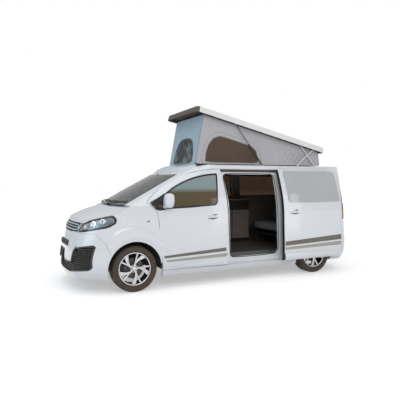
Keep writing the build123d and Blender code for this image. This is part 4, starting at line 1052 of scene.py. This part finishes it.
def mirror_head(side, sign):
    """Rounded head, cut flat at the glass, on a neck from the window's corner."""
    centre, half, power = Vector((MIRROR_X, -1.108, MIRROR_Z)), Vector((0.088, 0.078, 0.108)), 2.7
    rings, steps, points = 33, 48, []
    for r in range(rings):
        rise = math.pi * (r / (rings - 1) - 0.5)
        for k in range(steps):
            turn = 2 * math.pi * k / steps
            ray = Vector((math.cos(rise) * math.cos(turn), math.cos(rise) * math.sin(turn), math.sin(rise)))
            size = sum(abs(q) ** power for q in ray) ** (1 / power)
            p = centre + Vector([ray[i] / size * half[i] for i in range(3)])
            # The head narrows towards its foot and leans out a little
            p.x += 0.014 * (p.z - centre.z) / half.z
            p.y = min(p.y, MIRROR_FACE_Y)
            points.append(Vector((sign * p.x, p.y, p.z)))
    piece(f"mirror_head_{side}", points, grid_faces(steps, rings, closed=True), PAINT, f"front_door_{side}",
          50.0, replaces=[f"mirror_{side}"])
    neck = []
    for k in range(9):
        t = k / 8
        neck.append((sign * (0.925 + 0.075 * t), -1.150 + 0.040 * t, 1.232 + 0.03 * t * t))
    tube(f"mirror_neck_{side}", neck, 0.033, PAINT, f"front_door_{side}", 20)


def mirror_glass(side, sign):
    outline = softened([(-0.070, -0.084), (0.070, -0.084), (0.070, 0.084), (-0.070, 0.084)], 3)
    points, faces = filled(resampled(outline, 64), 0.02)
    piece(f"mirror_glass_{side}", [Vector((sign * MIRROR_X + p.x, MIRROR_FACE_Y + 0.0015, MIRROR_Z + p.y))
                                   for p in points], faces, MIRROR, f"front_door_{side}")


def side_repeater(side, sign):
    sight = Sight((-sign, 0, 0), "front_wings")
    outline = softened([(-0.028, -0.012), (0.028, -0.010), (0.026, 0.012), (-0.026, 0.010)], 2)
    points, faces = filled(resampled(outline, 40), 0.006)
    piece(f"side_repeater_{side}", [sight.lay(sign * (-1.405) + p.x, 1.022 + p.y, 0.003
                                              * max(0.2, 1 - (p.x / 0.028) ** 2)) for p in points], faces,
          SMOKED_LENS, "body", 60.0)


def both_halves(points):
    """Outline of the left half, from the centre line round to it, with its mirror image."""
    return [Vector(p) for p in points] + [Vector((-x, z)) for x, z in reversed(points) if x > 0.001]


def grille_frames():
    """Bright frame round the upper grille, borders and blades of the low inserts, and the fog lamps."""
    sight = Sight((0, 1, 0), "grilles")

    def proud(x, z):
        """Place on the grille's face, from its solid bands below and above the slots."""
        below, above = sight.lay(x, GRILLE_BELOW, 0.003), sight.lay(x, GRILLE_ABOVE, 0.003)
        return below.lerp(above, (z - GRILLE_BELOW) / (GRILLE_ABOVE - GRILLE_BELOW))

    edge = softened([(-0.500, 0.896), (0.500, 0.896), (0.492, 0.970), (-0.492, 0.970)], 2, 0.12)
    tube("grille_frame", [proud(p.x, p.y) for p in resampled(edge, 120)], 0.0095, GRILLE_BRIGHT, "body", 10,
         True)
    tube("grille_bar", [proud(0.488 * (k / 40 - 1), 0.934) for k in range(81)], 0.0065, GRILLE_BRIGHT,
         "body", 8)
    ring_on("insert_frame", sight, both_halves(INSERT_LINE), 0.026, GRAINED_PLASTIC, "body", 0.002, 400)
    for side, sign in SIDES:
        for k, (x, low_z, high_z) in enumerate(INSERT_BLADES):
            blade = [sight.lay(sign * x, low_z + (high_z - low_z) * t / 10, 0.001) for t in range(11)]
            tube(f"insert_blade_{side}_{k}", blade, 0.0045, GRAINED_PLASTIC, "body", 8)
        place = sight.lay(sign * 0.800, 0.400, 0.0)
        turned(f"fog_lamp_{side}", place, (0, -1, 0),
               [(-0.006, 0.034), (0.006, 0.034), (0.008, 0.031), (0.003, 0.028), (0.001, 0.0001)], LAMP_SHELL,
               "body", 32)


POCKET_HALF = 0.095


def handle_shadows_and_locks():
    """Painted shadow in the pocket under each grip, and the dark lock beside it."""
    for name, body, sign, y, z in (("door_left", "front_door_left", 1, -0.355, 1.052),
                                   ("door_right", "front_door_right", -1, -0.355, 1.052),
                                   ("sliding_door", "body", 1, 1.128, 1.090)):
        sight = Sight((-sign, 0, 0), name)
        # The first mark is painted shadow under the grip; the second is the dark key lock.
        for what, centre, high, half, rise in (("grip_shadow", 0.0, -0.021, 0.086, 0.006),
                                               ("lock", 0.048, 0.036, 0.028, 0.006)):
            line = softened([(y + centre - half, z + high - rise), (y + centre + half, z + high - rise),
                             (y + centre + half, z + high + rise), (y + centre - half, z + high + rise)], 2)
            points, faces = filled(resampled(line, 80), 0.006)
            # Flat across the pocket, between the panel beside its two ends
            fore, aft = (sight.lay(sign * (y + end), z + high, 0.0015) for end in (-POCKET_HALF, POCKET_HALF))
            placed = [fore.lerp(aft, (p.x - y + POCKET_HALF) / (2 * POCKET_HALF))
                      + Vector((0, 0, p.y - z - high)) for p in points]
            piece(f"handle_{what}_{name}", placed, faces, TRIM_DARK, body)


def arm_bars(node, body, width, thick):
    """Flat bars over the roof's slim arms, one at each side."""
    for side, sign in SIDES:
        found = np.array([v.co[:] for v in cad[node].data.vertices if v.co.x * sign > 0])
        middle = found.mean(axis=0)
        along = np.linalg.svd(found - middle, full_matrices=False)[2][0]
        reach = (found - middle) @ along
        x = (found[:, 0].min() + found[:, 0].max()) / 2
        axis = Vector(along).normalized()
        wide = axis.cross(Vector((1, 0, 0))).normalized() * width / 2
        points = []
        for end in (reach.min(), reach.max()):
            spot = Vector(middle) + axis * end
            for a, b in ((-1, -1), (1, -1), (1, 1), (-1, 1)):
                points.append(Vector((x, spot.y, spot.z)) + wide * a + Vector((thick / 2 * b, 0, 0)))
        faces = grid_faces(4, 2, closed=True) + [(3, 2, 1, 0), (4, 5, 6, 7)]
        piece(f"{node}_bar_{side}", points, faces, ALUMINIUM, body, 30.0)


HUB_Y, HUB_Z = -1.5985, 0.338
ARCH_RADIUS = 0.4065
CREASE_RADIUS = 0.622


def wheel_flare(side, sign):
    """Skin of the wing over the arch, swelling out under a soft crease."""
    line = [(-1.188, 0.50), (-1.198, 0.75), (-1.225, 0.90), (-1.30, 0.985), (-1.42, 1.020), (-1.60, 1.032),
            (-1.78, 1.005), (-1.92, 0.950), (-2.02, 0.870), (-2.035, 0.800), (-2.005, 0.715), (-1.955, 0.56)]
    arch = [math.radians(a) for a in range(148, 14, -4)]
    line += [(HUB_Y + ARCH_RADIUS * math.cos(a), HUB_Z + ARCH_RADIUS * math.sin(a)) for a in arch]
    sight = Sight((-sign, 0, 0), "front_wings")
    points, faces = filled(resampled([Vector(p) for p in line], 220), 0.014)
    placed = []
    for p in points:
        dy, dz = p.x - HUB_Y, p.y - HUB_Z
        r, turn = math.hypot(dy, dz), math.degrees(math.atan2(dz, dy))
        crease = CREASE_RADIUS - 0.0016 * max(0.0, 85 - turn) - 0.0006 * max(0.0, turn - 110)
        inside = min(1.0, max(0.0, (crease - r) / 0.035))
        near = min(1.0, max(0.0, (r - ARCH_RADIUS) / 0.06))
        ends = min(1.0, max(0.0, (turn - 32) / 22)) * min(1.0, max(0.0, (150 - turn) / 30))
        swell = inside * inside * (3 - 2 * inside) * near * near * (3 - 2 * near) * ends
        placed.append(sight.lay(sign * p.x, p.y, 0.0006 + 0.013 * swell))
    piece(f"wheel_flare_{side}", placed, faces, PAINT, "body", 80.0)


CAP_FRONT, CAP_REAR = -0.885, -0.478
CAP_TOP = 1.902
# Share of the cap's height along its middle, from front to rear
CAP_CROWN = [(CAP_FRONT, 0.0), (-0.86, 0.36), (-0.80, 0.72), (-0.72, 0.92), (-0.62, 0.99), (CAP_REAR, 1.0)]


def fairing():
    """Low cap that leads the air from the windscreen over the tent's foot."""
    trees = [tree_of(n) for n in ("roof_panel", "windscreen", "side_left", "side_right")]

    def roof(x, y):
        hits = [t.ray_cast(Vector((x, y, 3.0)), Vector((0, 0, -1)))[0] for t in trees]
        return max(hit.z for hit in hits if hit is not None)

    columns, rows, points = 61, 34, []
    peak = CAP_TOP - roof(0.0, CAP_REAR)
    for r in range(rows + 1):
        v = min(1.0, r / (rows - 1))
        for c in range(columns):
            u = 2 * c / (columns - 1) - 1
            front = CAP_FRONT + 0.16 * abs(u) ** 3.5
            y = front + (CAP_REAR - front) * v
            x = u * (0.55 + 0.07 * v)
            share = np.interp(CAP_FRONT + (CAP_REAR - CAP_FRONT) * v, *zip(*CAP_CROWN))
            side_fall = max(0.0, 1 - abs(u) ** 5) ** 0.6
            lift = 0.0 if r == rows else peak * share * side_fall
            points.append(Vector((x, y, roof(x, y) + lift - (0.004 if lift == 0.0 else 0.0))))
    piece("fairing_cap", points, grid_faces(columns, rows + 1), CAP_PAINT_SKY_REFLECTION, "body", 45.0,
          replaces=["roof_fairing"])


def sliding_door_details():
    """Flush pane of the sliding door, the dark edge of the door and the top of its recess."""
    shift = 1.022
    outline = softened([(-0.093, 1.780), (-0.016, 1.248), (1.104, 1.248), (1.013, 1.780)], 2, 0.035)
    sight = Sight((-1, 0, 0), "sliding_door", "sliding_door_glass")
    # The pane's pale grey is a painted reflection.
    plate("sliding_door_pane", sight, [Vector((p.x + shift, p.y)) for p in outline], 200, 0.035, 0.0022,
          PRIVACY_GLASS_PAINTED_REFLECTION)
    coat("sliding_door_edge", "sliding_door", lambda c, n: n.y < -0.5 and c.y < 1.0, RUBBER, "body", 0.0012)
    sight = Sight((-1, 0, 0), "side_left")
    band = softened([(-0.158, 1.750), (-0.162, 1.790), (1.008, 1.790), (1.014, 1.750)], 1, 0.02)
    plate("entry_head_trim", sight, band, 160, 0.008, 0.0015, HEAD_TRIM)


def entry_seal():
    """Rubber round the side entry, on the recess behind the sliding door."""
    outline = [Vector((y, z)) for y, z in (
        (-0.026, 0.470), (-0.006, 0.412), (0.054, 0.394), (0.800, 0.394), (0.880, 0.432), (0.907, 0.512),
        (0.882, 1.240), (0.854, 1.650), (0.836, 1.702), (0.780, 1.723), (-0.040, 1.723), (-0.098, 1.700),
        (-0.115, 1.645), (-0.052, 1.240))]
    sight = Sight((-1, 0, 0), "side_left")
    line = resampled(inset(softened(outline, 2), -0.006), 240)
    tube("entry_seal", [sight.lay(p.x, p.y, 0.002) for p in line], 0.006, RUBBER, "body", 8, closed=True)


# ---- Cabin ---------------------------------------------------------------------------
def pad(name, centre, size, lean, material, body, channels=(), bolster=0.0, replaces=()):
    """Crowned cushion with sewn channels across its front face; lean tips it back in degrees."""
    cuts = 26
    power = 7.0
    half = Vector(size) / 2
    mesh = bmesh.new()
    bmesh.ops.create_cube(mesh, size=2.0)
    bmesh.ops.subdivide_edges(mesh, edges=mesh.edges[:], cuts=cuts, use_grid_fill=True)
    c, s = math.cos(math.radians(lean)), math.sin(math.radians(lean))
    front = 1 if size[1] < size[2] else 2
    run = 2 if front == 1 else 1
    sign = -1 if front == 1 else 1
    for v in mesh.verts:
        w = v.co.copy()
        grow = sum(abs(q) ** power for q in w) ** (1 / power)
        p = Vector([w[i] / grow * half[i] for i in range(3)])
        facing = max(0.0, sign * w[front]) ** 3
        dip = sum(math.exp(-((w[run] - place) * half[run] / 0.006) ** 2) for place in channels)
        sewn = math.exp(-((abs(w[0]) - 0.62) * half[0] / 0.006) ** 2) if bolster else 0.0
        lump = bolster * max(0.0, (abs(w[0]) - 0.62) / 0.38) ** 0.7
        soft = 0.004 * noise.noise(p * 9 + Vector(centre) * 3)
        p[front] += sign * facing * (lump - 0.006 * dip - 0.006 * sewn + soft)
        v.co = Vector(centre) + Vector((p.x, p.y * c + p.z * s, -p.y * s + p.z * c))
    made = bpy.data.meshes.new(name)
    mesh.to_mesh(made)
    mesh.free()
    made.shade_smooth()
    made.materials.append(material)
    thing = add_object(name, made)
    if replaces:
        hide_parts(*replaces)
    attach(thing, body)
    return thing


def front_seat(side, x):
    hides = ["front_seats"] if side == "left" else []
    pad(f"seat_cushion_{side}", (x, -0.450, 0.736), (0.50, 0.52, 0.135), 0, SEAT_CLOTH, "body",
        (-0.25, 0.3), 0.022, hides)
    pad(f"seat_back_{side}", (x, -0.146, 1.105), (0.47, 0.125, 0.62), 14.4, SEAT_CLOTH, "body",
        (-0.45, 0.05, 0.5), 0.022)
    pad(f"headrest_{side}", (x, -0.044, 1.532), (0.26, 0.092, 0.185), 6.0, SEAT_CLOTH, "body", (0.0,))


def seats():
    front_seat("left", 0.380)
    front_seat("right", -0.380)
    coat("seat_bases", "front_seats", lambda c, n: c.z < 0.668 or 1.385 < c.z < 1.475, TRIM_DARK, "body", 0.0)
    pad("bench_cushion", (0.135, 1.450, 0.770), (0.93, 0.54, 0.142), 0, SEAT_CLOTH, "body", (-0.3, 0.35), 0.0,
        ["rear_bench"])
    pad("bench_back", (0.135, 1.752, 1.120), (0.93, 0.112, 0.565), 10.6, SEAT_CLOTH, "body", (-0.35, 0.3))
    for k, x in enumerate((-0.10, 0.37)):
        pad(f"bench_headrest_{k}", (x, 1.838, 1.490), (0.26, 0.090, 0.150), 8.0, SEAT_CLOTH, "body", (0.0,))
        for m in (-0.05, 0.05):
            tube(f"bench_headrest_post_{k}_{'a' if m < 0 else 'b'}",
                 [(x + m, 1.805, 1.37), (x + m, 1.829, 1.44)], 0.006, CHROME, "body")
    coat("bench_frame", "rear_bench", lambda c, n: c.z < 0.702, TRIM_DARK, "body", 0.0)


def linings():
    """Trim over the inner faces of the shell, the floor and the step."""
    for side, sign in SIDES:
        coat(f"side_{side}_lining", f"side_{side}",
             lambda c, n: n.x * sign < -0.35 and c.z > 0.40 and abs(c.x) > 0.5, TRIM_GREY, "body")
    for side, sign in SIDES:
        coat(f"door_card_{side}", f"door_{side}", lambda c, n: n.x * sign < -0.35, TRIM_DARK,
             f"front_door_{side}")
    coat("sliding_door_card", "sliding_door", lambda c, n: n.x < -0.35, TRIM_GREY, "body")
    coat("tailgate_card", "tailgate", lambda c, n: n.y < -0.35, TRIM_GREY, "tailgate")
    coat("headlining", "roof_panel", lambda c, n: n.z < -0.4, HEADLINING, "body")
    coat("floor_cover", "floor_pan", lambda c, n: n.z > 0.7 and c.z > 0.36, FLOOR_VINYL, "body")
    coat("entry_step", "floor_pan", lambda c, n: c.x > 0.62 and -0.06 < c.y < 0.90 and c.z > 0.30
         and (n.z > 0.5 or abs(n.x) > 0.5 or abs(n.y) > 0.5) and n.z > -0.3, STEP_PLASTIC, "body", 0.002)


KITCHEN_FACE_X = -0.4275
KITCHEN_PANELS = [((0.790, 1.160), (0.500, 1.050)), ((0.700, 0.770), (0.500, 1.050)),
                  ((0.402, 0.682), (0.500, 1.050)), ((0.092, 0.380), (0.500, 1.050))]


def kitchen():
    """Light door fronts with their catches, the worktop and its edge."""
    for k, (y, z) in enumerate(KITCHEN_PANELS):
        block(f"kitchen_front_{k}", (KITCHEN_FACE_X, KITCHEN_FACE_X + 0.004), y, z, CUPBOARD, "body", 0.0015)
        if y[1] - y[0] > 0.1:
            block(f"kitchen_catch_{k}", (KITCHEN_FACE_X + 0.004, KITCHEN_FACE_X + 0.012),
                  (y[0] + 0.03, y[0] + 0.07), (z[1] - 0.05, z[1] - 0.02), CHROME, "body", 0.003)
    block("worktop_cover", (-0.868, -0.418), (0.068, 1.174), (1.2605, 1.2655), WORKTOP, "body", 0.002)
    block("worktop_edge", (-0.4225, -0.418), (0.068, 1.174), (1.240, 1.262), WOOD_EDGE, "body", 0.001)


def cab_fittings():
    block("inner_mirror", (-0.12, 0.12), (-0.935, -0.918), (1.610, 1.672), SATIN_BLACK, "body", 0.012)
    tube("inner_mirror_stalk", [(0.0, -0.905, 1.735), (0.0, -0.915, 1.70), (0.0, -0.927, 1.66)], 0.007,
         SATIN_BLACK, "body")
    block("centre_screen", (-0.13, 0.13), (-0.968, -0.950), (1.000, 1.115), GLOSS_BLACK, "body", 0.006)
    for k, x in enumerate((-0.66, -0.17, 0.17, 0.66)):
        turned(f"air_vent_{k}", (x, -0.978, 1.045), (0, 1, 0.1),
               [(0.004, 0.0001), (0.004, 0.030), (0.012, 0.034), (0.012, 0.040), (0, 0.042)], SATIN_BLACK,
               "body", 32)


stripes()
for end, side, sign in WHEELS:
    tyre(end, side, sign)
    rim(end, side, sign)
    wheel_bolts(end, side, sign)
window_borders()
wipers()
tent()
lid_trim()
for side, sign in SIDES:
    headlamp(side, sign)
    mirror_head(side, sign)
    mirror_glass(side, sign)
    wheel_flare(side, sign)
    side_repeater(side, sign)
grille_frames()
handle_shadows_and_locks()
arm_bars("scissor_rear_arms", "scissor_rear", 0.017, 0.012)
arm_bars("scissor_front_arms", "scissor_front", 0.017, 0.012)
fairing()
sliding_door_details()
entry_seal()
seats()
linings()
kitchen()
cab_fittings()


# ---- Stage ------------------------------------------------------------------------
FLOOR_HALF = 60.0


def stage_floor():
    mesh = bpy.data.meshes.new("floor")
    corners = [(FLOOR_HALF * x, FLOOR_HALF * y, 0) for x, y in ((-1, -1), (1, -1), (1, 1), (-1, 1))]
    mesh.from_pydata(corners, [], [(0, 1, 2, 3)])
    floor = add_object("floor", mesh)
    material, n, main = shader("floor_white")
    rays = n.add("ShaderNodeLightPath").outputs
    seen = n.maths("MAXIMUM", rays["Is Camera Ray"], n.maths("MAXIMUM", rays["Is Glossy Ray"],
                                                             rays["Is Transmission Ray"]))
    far = n.add("ShaderNodeVectorMath", {0: n.place()}, operation="LENGTH").outputs["Value"]
    n.feed(main, {"Base Color": (0.78, 0.78, 0.79, 1.0), "Roughness": 0.9, "Specular IOR Level": 0.1,
                  "Emission Color": (1.0, 1.0, 1.0, 1.0),
                  "Emission Strength": n.maths("MULTIPLY", seen, n.ramp(far, 3.0, 12.0, 0.42, 0.9))})
    mesh.materials.append(material)


def world():
    made = bpy.data.worlds.new("studio")
    made.use_nodes = True
    bpy.context.scene.world = made
    n = Nodes(made.node_tree)
    rays = n.add("ShaderNodeLightPath").outputs
    seen = n.maths("MAXIMUM", rays["Is Camera Ray"], rays["Is Transmission Ray"])
    n.feed(made.node_tree.nodes["Background"], {"Color": (1.0, 1.0, 1.0, 1.0),
                                                "Strength": n.ramp(seen, 0.0, 1.0, 0.55, 1.0)})


bpy.context.scene.view_settings.view_transform = "Standard"
camera()
stage_floor()
world()
lamp("key", (8.5, -2.5, 6.0), (0, 0, 1.0), (5.0, 5.0), 250, (1.0, 0.985, 0.97))
lamp("front", (1.5, -9.5, 4.0), (0, -2.0, 1.0), (5.0, 3.5), 110, (0.72, 0.87, 1.0))
lamp("rear_fill", (8.0, 5.0, 1.4), (1.0, 1.2, 0.6), (3.0, 3.0), 55, (1.0, 0.985, 0.95))
lamp("sky", (0.0, 0.0, 8.0), (0, 0, 0), (8.0, 8.0), 150, (0.95, 0.98, 1.0))
